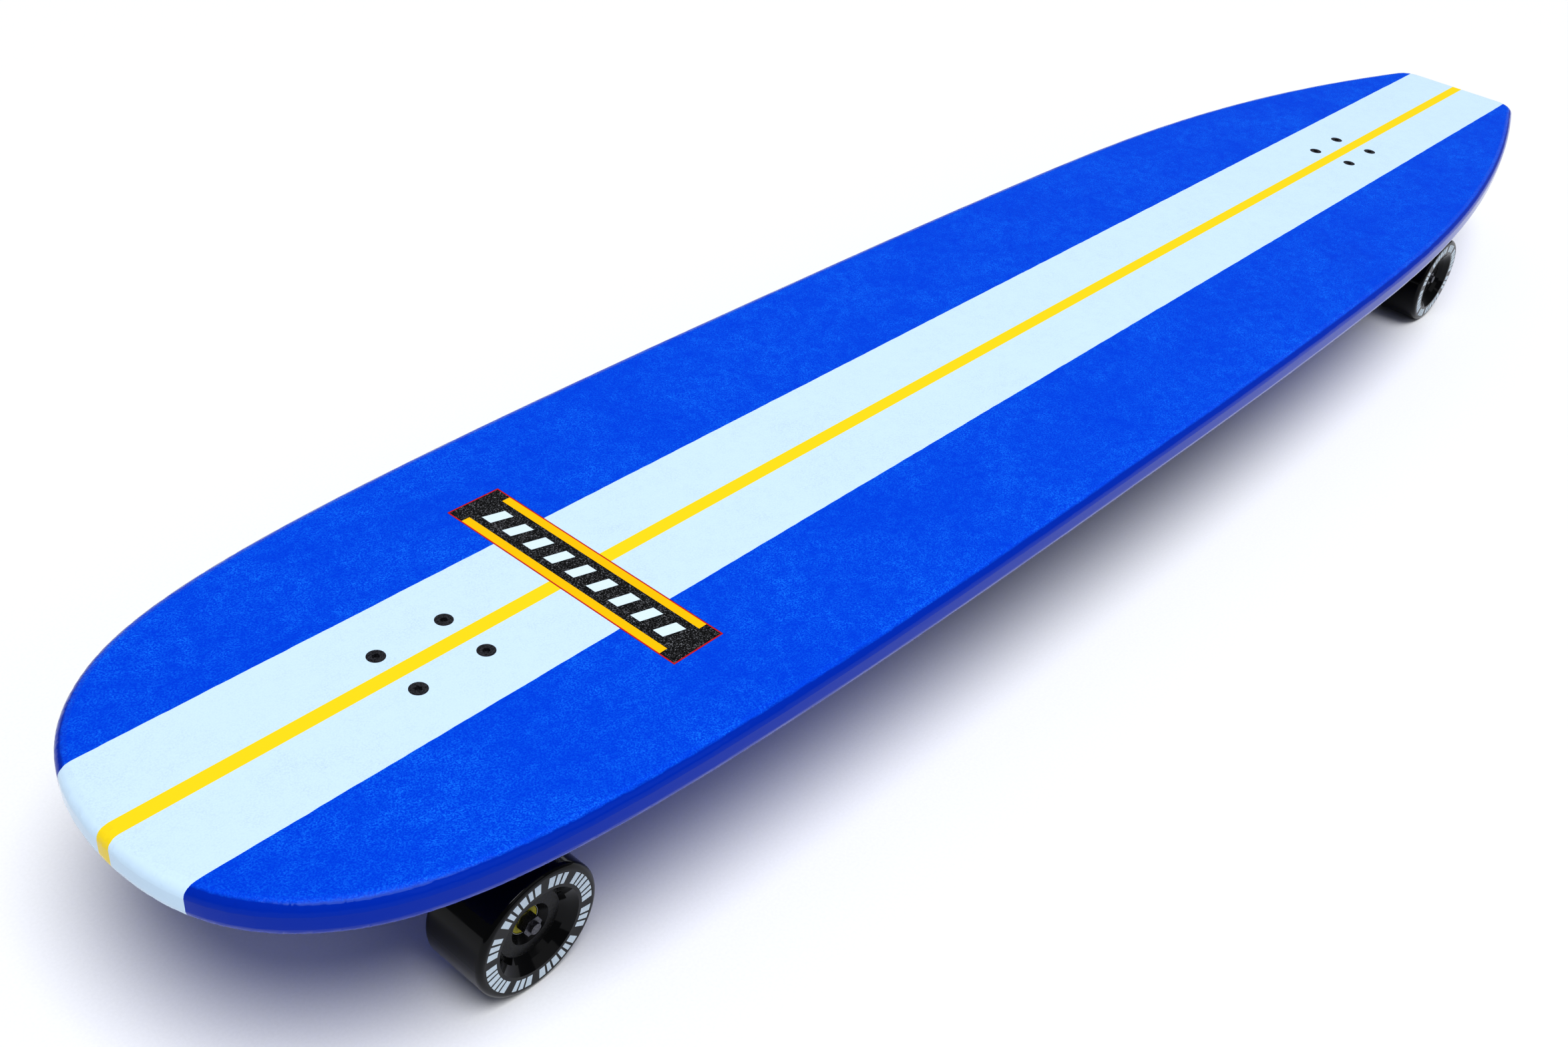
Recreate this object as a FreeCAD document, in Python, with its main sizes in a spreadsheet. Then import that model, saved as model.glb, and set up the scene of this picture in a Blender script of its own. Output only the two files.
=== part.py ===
import FreeCAD, Part
import os
import Sketcher

# Electric skateboard, millimetres. +X to the nose, +Y to the rider's left facing the nose, +Z up.
# The origin is on the floor, under the middle of the deck.

doc = FreeCAD.newDocument("electric_skateboard")
sheet = doc.addObject("Spreadsheet::Sheet", "Dims")

DRIVING_SIZES = {
    # deck
    "deck_length": 1880.0,
    "deck_width": 381.0,
    "deck_thick": 25.4,
    "tail_width": 143.0,
    "tail_corner": 28.0,
    "rail_radius": 8.0,
    "panel_centre": 586.0,
    "panel_length": 46.0,
    "panel_width": 221.0,
    "panel_thick": 0.5,
    "panel_gap": 0.2,
    # truck mounting: four bolts on a rectangle, at each end
    "front_bolt_x": 713.7,
    "rear_bolt_x": -599.8,
    "bolt_spacing_long": 53.98,
    "bolt_spacing_wide": 41.28,
    "bolt_radius": 2.4,
    "bolt_hole_radius": 2.6,
    "bolt_head_radius": 6.3,
    "bolt_head_deep": 3.7,
    "bolt_head_sunk": 0.1,
    "bolt_socket": 2.3,
    "socket_floor": 1.0,
    "bolt_past_nut": 2.0,
    "bolt_nut": 4.6,
    "bolt_nut_thick": 5.0,
    "riser_thick": 13.0,
    "plate_length": 84.0,
    "plate_width": 58.0,
    "plate_thick": 7.0,
    "plate_corner": 8.0,
    # truck: reverse kingpin, its steering axis rises away from the middle of the board
    "truck_height": 80.0,
    "axle_offset": 33.0,
    "steer_angle": 40.0,
    "rake": 22.0,
    "ring_reach": 38.0,
    "pivot_reach": 25.0,
    "ring_radius": 17.0,
    "ring_thick": 10.0,
    "ring_bore": 7.5,
    "barrel_radius": 14.0,
    "hanger_width": 200.0,
    "shoulder_length": 8.0,
    "shoulder_radius": 8.5,
    "wing_width": 108.0,
    "wing_thick": 16.0,
    "arm_width": 26.0,
    "arm_sunk": 3.0,
    "arm_foot": 2.0,
    "arm_back": 10.0,
    "arm_high": 8.5,
    "arm_inset": 1.0,
    "wing_start": 4.0,
    "wing_step": 2.0,
    "wing_fore": 5.0,
    "wing_aft": 7.0,
    "nose_radius": 6.0,
    "nose_sunk": 2.0,
    "nose_swell": 1.0,
    "nose_collar": 11.0,
    "nose_neck": 14.0,
    "nose_flat": 1.0,
    "nose_tip": 4.0,
    "nose_taper": 3.0,
    "pivot_cup_radius": 8.9,
    "pivot_boss_radius": 12.0,
    "cup_mouth": 3.0,
    "cup_depth": 7.0,
    "cup_floor": 2.5,
    "cup_wall": 4.0,
    "pivot_play": 0.4,
    "web_width": 26.0,
    "web_sunk": 1.0,
    "web_inner_set": 12.0,
    "web_outer_set": 2.0,
    "web_back_cut": 5.0,
    "kingpin_radius": 4.76,
    "kingpin_play": 0.1,
    "kingpin_head": 7.0,
    "kingpin_head_thick": 6.0,
    "kingpin_head_room": 2.0,
    "kingpin_past_nut": 2.0,
    "kingpin_nut": 8.0,
    "kingpin_nut_thick": 9.0,
    "seat_wall": 14.0,
    "bushing_radius": 13.5,
    "bushing_height": 14.0,
    "bushing_edge": 1.0,
    "bushing_band": 2.0,
    "barrel_waist": 1.0,
    "cone_waist": 3.5,
    "washer_radius": 13.0,
    "washer_thick": 1.6,
    # axles and wheels
    "axle_radius": 4.0,
    "axle_end": 9.5,
    "axle_nut": 6.5,
    "axle_nut_thick": 6.5,
    "ring_shim": 1.0,
    "ring_shim_radius": 6.2,
    "bearing_radius": 11.0,
    "bearing_width": 7.0,
    "bearing_play": 0.03,
    "bearing_gap": 10.0,
    "bearing_seat_gap": 0.05,
    "wheel_radius": 48.5,
    "wheel_width": 52.0,
    "wheel_lip": 4.0,
    "wheel_face": 12.0,
    "wheel_mouth": 27.0,
    "wheel_dish": 5.0,
    "core_radius": 24.0,
    "core_width": 34.0,
    "core_bore": 8.5,
    "core_lead": 0.5,
    "core_flare": 4.0,
    # belt drive
    "belt_pitch": 5.0,
    "belt_teeth": 60.0,
    "belt_width": 12.0,
    "belt_thick": 2.0,
    "wheel_teeth": 36.0,
    "motor_teeth": 15.0,
    "tooth_deep": 1.9,
    "tooth_wide": 2.9,
    "pitch_line_drop": 0.57,
    "flange_high": 2.0,
    "flange_thick": 1.2,
    "belt_clearance": 0.3,
    "wheel_pulley_bore": 19.0,
    "hub_step": 1.0,
    "drive_gap": 1.5,
    "mount_thick": 8.0,
    "mount_half_height": 23.0,
    "mount_heel": 7.0,
    "mount_heel_cut": 8.0,
    "mount_brow": 6.0,
    "mount_chin": 3.0,
    "mount_chin_cut": 12.0,
    "clamp_gap": 0.05,
    "shaft_room": 3.0,
    "screw_play": 0.2,
    "motor_radius": 25.0,
    "motor_length": 48.0,
    "motor_shaft": 4.0,
    "motor_screw_circle": 18.0,
    "motor_screw_radius": 2.0,
    "motor_screw_head": 3.4,
    "motor_screw_head_high": 3.0,
    "can_wall": 3.0,
    "can_floor": 5.0,
    "can_mouth": 7.0,
    "stator_bore_gap": 1.0,
    "stator_flange_in": 2.0,
    "stator_flange": 3.0,
    "stator_neck": 7.0,
    "stator_neck_start": 6.0,
    "winding_start": 9.0,
    "winding_gap": 2.0,
    "winding_back_gap": 4.0,
    # battery and controller case under the deck
    "case_length": 560.0,
    "case_width": 200.0,
    "case_depth": 34.0,
    "case_wall": 3.0,
    "case_lip": 12.0,
    "case_corner": 22.0,
    "case_inner_corner": 13.2,
    "case_centre": 20.0,
    "gasket_thick": 1.5,
    "gasket_inset": 4.0,
    "case_screw_radius": 2.0,
    "case_screw_head": 3.8,
    "case_screw_head_high": 2.0,
    "case_screw_head_edge": 1.0,
    "end_screw_offset": 35.3,
    "battery_length": 350.0,
    "battery_width": 176.0,
    "battery_height": 24.0,
    "battery_corner": 6.0,
    "controller_length": 120.0,
    "controller_width": 120.0,
    "controller_height": 20.0,
    "controller_set": 35.0,
    "fin_pitch": 12.0,
    "fin_groove": 6.0,
    "fin_deep": 6.0,
    "inner_gap": 2.0,
    "port_set": 60.0,
    "button_set": 105.0,
    "button_radius": 8.0,
    "button_edge": 1.0,
    "button_proud": 1.0,
    "button_tail": 3.0,
    "button_travel": 1.5,
    "button_play": 0.3,
    "port_radius": 9.0,
    "port_bore": 5.5,
    "port_rim": 3.0,
    "port_rim_thick": 2.0,
    "port_depth": 12.0,
    "port_floor": 2.0,
    "port_foot_start": 7.0,
    "cap_thick": 3.0,
    "cap_overlap": 2.5,
    "cap_gap": 0.5,
    "cap_tab": 8.0,
    "cap_hinge_drop": 13.0,
    "cap_barrel_radius": 1.7,
    "hinge_pin_radius": 0.8,
    "hinge_pin_play": 0.05,
    "ear_gap": 0.3,
    "ear_thick": 2.0,
    "ear_round": 1.6,
    "gland_offset": 40.0,
    "gland_radius": 8.0,
    "gland_shoulder": 2.0,
    "gland_tail": 5.0,
    "gland_collar": 7.0,
    "gland_length": 11.0,
    "gland_taper": 2.5,
    "cable_radius": 3.5,
}

for row, (alias, number) in enumerate(DRIVING_SIZES.items(), start=1):
    sheet.set(f"A{row}", alias)
    sheet.set(f"B{row}", str(number))
    sheet.setAlias(f"B{row}", alias)
doc.recompute()

# Lines worked out from the driving sizes, as expressions that stay bound to the sheet.
TURN = "Dims.steer_angle"
PLATE_TOP = "(Dims.wheel_radius + Dims.truck_height)"
UNDERSIDE = f"({PLATE_TOP} + Dims.riser_thick)"
DECK_TOP = f"({UNDERSIDE} + Dims.deck_thick)"
HANGER_END = "(Dims.hanger_width / 2)"
WHEEL_Y = f"({HANGER_END} + Dims.ring_shim + Dims.bearing_width + Dims.bearing_gap / 2)"
AXLE_END = (f"({HANGER_END} + 2 * Dims.ring_shim + 2 * Dims.bearing_width"
            " + Dims.bearing_gap + Dims.axle_end)")
RING_OUT = f"(Dims.axle_offset - Dims.rake * sin({TURN}) + Dims.ring_reach * cos({TURN}))"
RING_DOWN = f"(-Dims.truck_height + Dims.rake * cos({TURN}) + Dims.ring_reach * sin({TURN}))"
SEAT = "(Dims.ring_thick / 2 + Dims.bushing_height + Dims.washer_thick)"
PIVOT = "(Dims.ring_reach + Dims.pivot_reach)"
WHEEL_PITCH = "(Dims.wheel_teeth * Dims.belt_pitch / (2 * pi))"
MOTOR_PITCH = "(Dims.motor_teeth * Dims.belt_pitch / (2 * pi))"
BELT_HALF = f"(Dims.belt_teeth * Dims.belt_pitch - pi * ({WHEEL_PITCH} + {MOTOR_PITCH}))"
DRIVE_REACH = (f"(({BELT_HALF} + sqrt({BELT_HALF} * {BELT_HALF}"
               f" - 8 * ({WHEEL_PITCH} - {MOTOR_PITCH}) * ({WHEEL_PITCH} - {MOTOR_PITCH}))) / 4)")
WHEEL_PULLEY = f"({WHEEL_PITCH} - Dims.pitch_line_drop)"
MOTOR_PULLEY = f"({MOTOR_PITCH} - Dims.pitch_line_drop)"
WHEEL_INNER = f"({WHEEL_Y} - Dims.wheel_width / 2)"
BELT_Y = (f"({WHEEL_INNER} - Dims.drive_gap - Dims.flange_thick"
          " - Dims.belt_width / 2 - Dims.belt_clearance)")
PULLEY_HALF = "(Dims.belt_width / 2 + Dims.belt_clearance)"
MOUNT_Y = f"({BELT_Y} - {PULLEY_HALF} - Dims.flange_thick - Dims.drive_gap - Dims.mount_thick)"
REAR_AXLE_X = "(Dims.rear_bolt_x - Dims.axle_offset)"
MOTOR_X = f"({REAR_AXLE_X} + {DRIVE_REACH})"
CASE_TOP = f"({UNDERSIDE} - Dims.gasket_thick)"
CASE_FLOOR = f"({CASE_TOP} - Dims.case_depth)"
PORT_X = "(-Dims.case_length / 2 + Dims.port_set)"
BUTTON_X = "(-Dims.case_length / 2 + Dims.button_set)"
EAR_OUT = "(Dims.cap_tab / 2 + Dims.ear_gap + Dims.ear_thick)"
HINGE_HIGH = "(Dims.port_rim_thick + Dims.cap_gap + Dims.cap_thick / 2)"
OVERCUT = "80"  # tools that cut right through start or end this far out
LEAST_CUT = 1e-3  # a cut that takes less than this has missed

SIDES = (("left", 1), ("right", -1))
ENDS = (("front", "Dims.front_bolt_x", 1), ("rear", "Dims.rear_bolt_x", -1))
PARTS = []


def value(expression):
    result = sheet.evalExpression(expression)
    return float(getattr(result, "Value", result))


def place(piece, x="0", y="0", z="0", turns="rotation(vector(0;0;1); 0)"):
    piece.setExpression("Placement", f"placement(vector({x}; {y}; {z}); {turns})")
    return piece


def keep(piece, label):
    piece.Label = label
    PARTS.append(piece)
    return piece


def body_named(label):
    return doc.addObject("PartDesign::Body", label)


def sketch_on(body, role, name):
    sketch = body.newObject("Sketcher::SketchObject", f"{body.Name}_{name}")
    plane = next(item for item in body.Origin.OriginFeatures if item.Role == role)
    sketch.AttachmentSupport = [(plane, "")]
    sketch.MapMode = "FlatFace"
    return sketch


def pin_point(sketch, geometry, end, x, y):
    # Two signed distances from the sketch's origin fix a point.
    for kind, expression in (("DistanceX", x), ("DistanceY", y)):
        index = sketch.addConstraint(
            Sketcher.Constraint(kind, -1, 1, geometry, end, value(expression)))
        sketch.setExpression(f"Constraints[{index}]", expression)


def add_polygon(sketch, corners):
    points = [FreeCAD.Vector(value(x), value(y), 0) for x, y in corners]
    count = len(points)
    lines = [sketch.addGeometry(Part.LineSegment(points[i], points[(i + 1) % count]), False)
             for i in range(count)]
    for i, line in enumerate(lines):
        sketch.addConstraint(Sketcher.Constraint("Coincident", line, 2, lines[(i + 1) % count], 1))
    for line, (x, y) in zip(lines, corners):
        pin_point(sketch, line, 1, x, y)


def add_circle(sketch, x, y, radius):
    centre = FreeCAD.Vector(value(x), value(y), 0)
    circle = sketch.addGeometry(Part.Circle(centre, FreeCAD.Vector(0, 0, 1), value(radius)), False)
    index = sketch.addConstraint(Sketcher.Constraint("Radius", circle, value(radius)))
    sketch.setExpression(f"Constraints[{index}]", radius)
    pin_point(sketch, circle, 3, x, y)


def rectangle(x0, x1, y0, y1):
    return [(x0, y0), (x1, y0), (x1, y1), (x0, y1)]


def octagon(far_x, far_y, cut):
    # A rectangle with its corners cut off.
    return [(f"{x} * ({far_x} - {inset_x} * {cut})", f"{y} * ({far_y} - {inset_y} * {cut})")
            for x, y, inset_x, inset_y in (
                (-1, -1, 1, 0), (1, -1, 1, 0), (1, -1, 0, 1), (1, 1, 0, 1),
                (1, 1, 1, 0), (-1, 1, 1, 0), (-1, 1, 0, 1), (-1, -1, 0, 1))]


def pad(body, sketch, length, midplane=False, down=False):
    feature = body.newObject("PartDesign::Pad", f"{sketch.Name}_pad")
    feature.Profile = sketch
    feature.setExpression("Length", length)
    feature.Midplane = midplane
    feature.Reversed = down
    doc.recompute()


def has_to_cut(body, before, name):
    doc.recompute()
    if body.Shape.Volume >= before - LEAST_CUT:
        raise RuntimeError(f"{name} cuts nothing")


def cut_through(body, sketch, both_ways=True, back=False):
    before = body.Shape.Volume
    feature = body.newObject("PartDesign::Pocket", f"{sketch.Name}_cut")
    feature.Profile = sketch
    feature.Type = "ThroughAll"
    feature.Midplane = both_ways
    feature.Reversed = back
    has_to_cut(body, before, sketch.Name)


def cut_deep(body, sketch, length):
    before = body.Shape.Volume
    feature = body.newObject("PartDesign::Pocket", f"{sketch.Name}_cut")
    feature.Profile = sketch
    feature.setExpression("Length", length)
    has_to_cut(body, before, sketch.Name)


def revolve(body, sketch, axis="V_Axis"):
    feature = body.newObject("PartDesign::Revolution", f"{sketch.Name}_turned")
    feature.Profile = sketch
    feature.ReferenceAxis = (sketch, [axis])
    doc.recompute()


def turned(label, corners):
    # A solid of revolution about the body's own Z: corners are (radius, height).
    body = body_named(label)
    sketch = sketch_on(body, "XZ_Plane", "section")
    add_polygon(sketch, corners)
    revolve(body, sketch)
    return body


def fillet_edges(body, radius, chosen):
    names = [f"Edge{i + 1}" for i, edge in enumerate(body.Shape.Edges) if chosen(edge)]
    base = body.Tip
    feature = body.newObject("PartDesign::Fillet", f"{body.Name}_round{len(body.Group)}")
    feature.Base = (base, names)
    feature.setExpression("Radius", radius)
    doc.recompute()


TINY = 1e-4


def upright(edge):
    box = edge.BoundBox
    return box.ZLength > TINY and box.XLength < TINY and box.YLength < TINY


def at_plate_corner(edge):
    corner_x = value("Dims.plate_length") / 2
    return upright(edge) and abs(abs(edge.BoundBox.XMin) - corner_x) < TINY


def hexagon(across):
    # Corners of a hexagon with its flats `across` from the middle.
    return [(f"({across}) / cos(30) * cos({60 * i})", f"({across}) / cos(30) * sin({60 * i})")
            for i in range(6)]


def group(label, source, spots):
    # One fastener drawn once, linked to each of its places.
    links = []
    for number, spot in enumerate(spots):
        link = doc.addObject("App::Link", f"{label}_{number}")
        link.LinkedObject = source
        link.LinkTransform = False
        place(link, *spot)
        links.append(link)
    compound = doc.addObject("Part::Compound", label)
    compound.Links = links
    return keep(compound, label)


def truck_spot(end, out, side, down, tilt=None):
    # A place in a truck: out is away from the middle of the board, down is below the baseplate top.
    _, bolt_x, sign = end
    turns = "rotation(vector(0;0;1); 0)" if sign > 0 else "rotation(vector(0;0;1); 180)"
    if tilt:
        turns = f"{turns} * rotation(vector(0;1;0); {tilt})"
    return (f"{bolt_x} + ({sign}) * ({out})", f"({sign}) * ({side})", f"{PLATE_TOP} + ({down})", turns)


def ring_spot(end, along):
    # A place on the kingpin's line, `along` from the ring's middle towards the deck.
    out = f"{RING_OUT} - ({along}) * sin({TURN})"
    down = f"{RING_DOWN} + ({along}) * cos({TURN})"
    return truck_spot(end, out, "0", down, f"-{TURN}")


def wheel_turns(side):
    return f"rotation(vector(1;0;0); {-90 * side})"


def wheel_spot(end, side, offset="0"):
    _, bolt_x, sign = end
    x = f"{bolt_x} + ({sign}) * Dims.axle_offset"
    y = f"({side}) * ({WHEEL_Y} + ({offset}))"
    return (x, y, "Dims.wheel_radius", wheel_turns(side))


def bolt_places():
    return [(f"{bolt_x} + ({i}) * Dims.bolt_spacing_long / 2", f"({j}) * Dims.bolt_spacing_wide / 2")
            for _, bolt_x, _ in ENDS for i in (-1, 1) for j in (-1, 1)]


# ---- deck ----

# Half of the deck's outline as a smooth curve: shares of half the length and half the width.
OUTLINE = ((1.0, 0.0), (1.0, 0.294), (0.962, 0.672), (0.803, 0.984),
           (0.115, 1.002), (-0.19, 1.002), (-0.704, 0.925))


def half_outline(half_long, half_wide, half_tail, side):
    poles = [FreeCAD.Vector(x * half_long, side * y * half_wide, 0) for x, y in OUTLINE]
    poles.append(FreeCAD.Vector(-half_long, side * half_tail, 0))
    degree = 3
    inner = len(poles) - degree
    curve = Part.BSplineCurve()
    curve.buildFromPolesMultsKnots(
        poles, [degree + 1] + [1] * (inner - 1) + [degree + 1], list(range(inner + 1)), False, degree)
    return curve


def make_deck():
    half_long = value("Dims.deck_length") / 2
    half_wide = value("Dims.deck_width") / 2
    half_tail = value("Dims.tail_width") / 2
    thick = value("Dims.deck_thick")
    left = half_outline(half_long, half_wide, half_tail, 1).toShape()
    right = half_outline(half_long, half_wide, half_tail, -1).toShape()
    tail = Part.LineSegment(FreeCAD.Vector(-half_long, half_tail, 0),
                            FreeCAD.Vector(-half_long, -half_tail, 0)).toShape()
    outline = Part.Wire(Part.__sortEdges__([left, tail, right]))
    solid = Part.Face(outline).extrude(FreeCAD.Vector(0, 0, thick))
    corners = [edge for edge in solid.Edges if upright(edge) and edge.BoundBox.XMin < 0]
    solid = solid.makeFillet(value("Dims.tail_corner"), corners)
    rims = [edge for edge in solid.Edges if edge.BoundBox.ZLength < TINY]
    solid = solid.makeFillet(value("Dims.rail_radius"), rims)
    panel_long = value("Dims.panel_length + 2 * Dims.panel_gap")
    panel_wide = value("Dims.panel_width + 2 * Dims.panel_gap")
    panel_deep = value("Dims.panel_thick")
    corner = FreeCAD.Vector(value("Dims.panel_centre") - panel_long / 2, -panel_wide / 2,
                            thick - panel_deep)
    solid = solid.cut(Part.makeBox(panel_long, panel_wide, panel_deep, corner))
    drill = value("Dims.bolt_hole_radius")
    head = value("Dims.bolt_head_radius + Dims.bolt_head_sunk")
    deep = value("Dims.bolt_head_deep + Dims.bolt_head_sunk")
    for x, y in bolt_places():
        spot = FreeCAD.Vector(value(x), value(y), 0)
        solid = solid.cut(Part.makeCylinder(drill, thick, spot))
        sink = Part.makeCone(drill, head, deep, spot + FreeCAD.Vector(0, 0, thick - deep))
        solid = solid.cut(sink)
    deck = doc.addObject("Part::Feature", "deck")
    deck.Shape = solid
    place(deck, z=UNDERSIDE)
    keep(deck, "deck")


def make_panel():
    body = body_named("nose_panel")
    sketch = sketch_on(body, "XY_Plane", "outline")
    add_polygon(sketch, rectangle("-Dims.panel_length / 2", "Dims.panel_length / 2",
                                  "-Dims.panel_width / 2", "Dims.panel_width / 2"))
    pad(body, sketch, "Dims.panel_thick")
    place(body, "Dims.panel_centre", "0", f"{DECK_TOP} - Dims.panel_thick")
    keep(body, "nose_panel")


def make_risers():
    master = body_named("riser_pad")
    sketch = sketch_on(master, "XY_Plane", "outline")
    add_polygon(sketch, rectangle("-Dims.plate_length / 2", "Dims.plate_length / 2",
                                  "-Dims.plate_width / 2", "Dims.plate_width / 2"))
    for i in (-1, 1):
        for j in (-1, 1):
            add_circle(sketch, f"({i}) * Dims.bolt_spacing_long / 2",
                       f"({j}) * Dims.bolt_spacing_wide / 2", "Dims.bolt_hole_radius")
    pad(master, sketch, "Dims.riser_thick")
    fillet_edges(master, "Dims.plate_corner", at_plate_corner)
    group("riser_pads", master, [truck_spot(end, "0", "0", "0") for end in ENDS])


def make_deck_bolts():
    tip = ("-(Dims.deck_thick + Dims.riser_thick + Dims.plate_thick + Dims.bolt_nut_thick"
           " + Dims.bolt_past_nut)")
    body = turned("deck_bolt", [
        ("0", "0"), ("Dims.bolt_head_radius", "0"), ("Dims.bolt_radius", "-Dims.bolt_head_deep"),
        ("Dims.bolt_radius", tip), ("0", tip)])
    sketch = sketch_on(body, "XY_Plane", "socket")
    add_polygon(sketch, hexagon("Dims.bolt_socket"))
    cut_deep(body, sketch, "Dims.bolt_head_deep - Dims.socket_floor")
    spots = [(x, y, f"{DECK_TOP} - Dims.bolt_head_sunk") for x, y in bolt_places()]
    group("deck_bolts", body, spots)


def make_deck_nuts():
    body = body_named("deck_nut")
    sketch = sketch_on(body, "XY_Plane", "outline")
    add_polygon(sketch, hexagon("Dims.bolt_nut"))
    add_circle(sketch, "0", "0", "Dims.bolt_radius")
    pad(body, sketch, "Dims.bolt_nut_thick", down=True)
    spots = [(x, y, f"{PLATE_TOP} - Dims.plate_thick") for x, y in bolt_places()]
    group("deck_nuts", body, spots)


# ---- trucks ----

def along_steer(out, up):
    # A point in the truck's own side view from the ring's middle: out along the steering axis, up
    # along the kingpin towards the deck.
    return (f"{RING_OUT} + ({out}) * cos({TURN}) - ({up}) * sin({TURN})",
            f"{RING_DOWN} + ({out}) * sin({TURN}) + ({up}) * cos({TURN})")


def make_baseplate(end):
    body = body_named(f"{end[0]}_baseplate")
    plate = sketch_on(body, "XY_Plane", "plate")
    add_polygon(plate, rectangle("-Dims.plate_length / 2", "Dims.plate_length / 2",
                                 "-Dims.plate_width / 2", "Dims.plate_width / 2"))
    for i in (-1, 1):
        for j in (-1, 1):
            add_circle(plate, f"({i}) * Dims.bolt_spacing_long / 2",
                       f"({j}) * Dims.bolt_spacing_wide / 2", "Dims.bolt_hole_radius")
    pad(body, plate, "Dims.plate_thick", down=True)
    fillet_edges(body, "Dims.plate_corner", at_plate_corner)
    web = sketch_on(body, "XZ_Plane", "web")
    mouth = f"-{PIVOT} + Dims.cup_mouth"
    back = f"-{PIVOT} - Dims.cup_depth - Dims.cup_wall"
    boss = "Dims.pivot_boss_radius"
    foot = "-Dims.plate_thick + Dims.web_sunk"
    add_polygon(web, [
        ("-Dims.plate_length / 2 + Dims.web_inner_set", foot),
        ("Dims.plate_length / 2 - Dims.web_outer_set", foot),
        along_steer("Dims.bushing_radius", SEAT), along_steer("-Dims.bushing_radius", SEAT),
        along_steer(mouth, boss), along_steer(mouth, f"-{boss}"),
        along_steer(back, f"-{boss} + Dims.web_back_cut"), along_steer(back, boss)])
    pad(body, web, "Dims.web_width", midplane=True)
    # The pivot cup's bore and the kingpin's hole are turned about their own lines.
    bore = sketch_on(body, "XZ_Plane", "cup_bore")
    cup_back = f"-{PIVOT} - Dims.cup_depth"
    add_polygon(bore, [along_steer(cup_back, "0"), along_steer("-Dims.ring_reach", "0"),
                       along_steer("-Dims.ring_reach", "Dims.pivot_cup_radius"),
                       along_steer(cup_back, "Dims.pivot_cup_radius")])
    cut_about_line(body, bore, along_steer(cup_back, "0"), along_steer("-Dims.ring_reach", "0"))
    hole = sketch_on(body, "XZ_Plane", "kingpin_hole")
    head = f"{SEAT} + Dims.seat_wall"
    room = "Dims.kingpin_head + Dims.kingpin_head_room"
    loose = "Dims.kingpin_radius + Dims.kingpin_play"
    add_polygon(hole, [along_steer("0", "0"), along_steer("0", OVERCUT), along_steer(room, OVERCUT),
                       along_steer(room, head), along_steer(loose, head), along_steer(loose, "0")])
    cut_about_line(body, hole, along_steer("0", "0"), along_steer("0", OVERCUT))
    place(body, *truck_spot(end, "0", "0", "0"))
    keep(body, body.Name)


def cut_about_line(body, sketch, start, end):
    # A groove turned about a construction line from start to end.
    ends = [FreeCAD.Vector(value(x), value(y), 0) for x, y in (start, end)]
    line = sketch.addGeometry(Part.LineSegment(*ends), True)
    pin_point(sketch, line, 1, *start)
    pin_point(sketch, line, 2, *end)
    before = body.Shape.Volume
    feature = body.newObject("PartDesign::Groove", f"{sketch.Name}_turned")
    feature.Profile = sketch
    feature.ReferenceAxis = (sketch, ["Axis0"])
    has_to_cut(body, before, sketch.Name)


def make_pivot_cups():
    outer = "Dims.pivot_cup_radius"
    inner = "Dims.nose_radius + Dims.pivot_play"
    floor = "-Dims.cup_depth + Dims.cup_floor"
    body = turned("pivot_cup", [
        ("0", "-Dims.cup_depth"), (outer, "-Dims.cup_depth"), (outer, "Dims.cup_mouth"),
        (inner, "Dims.cup_mouth"), (inner, floor), ("0", floor)])
    spots = []
    for end in ENDS:
        out, down = along_steer(f"-{PIVOT}", "0")
        spots.append(truck_spot(end, out, "0", down, f"90 - {TURN}"))
    group("pivot_cups", body, spots)


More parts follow.
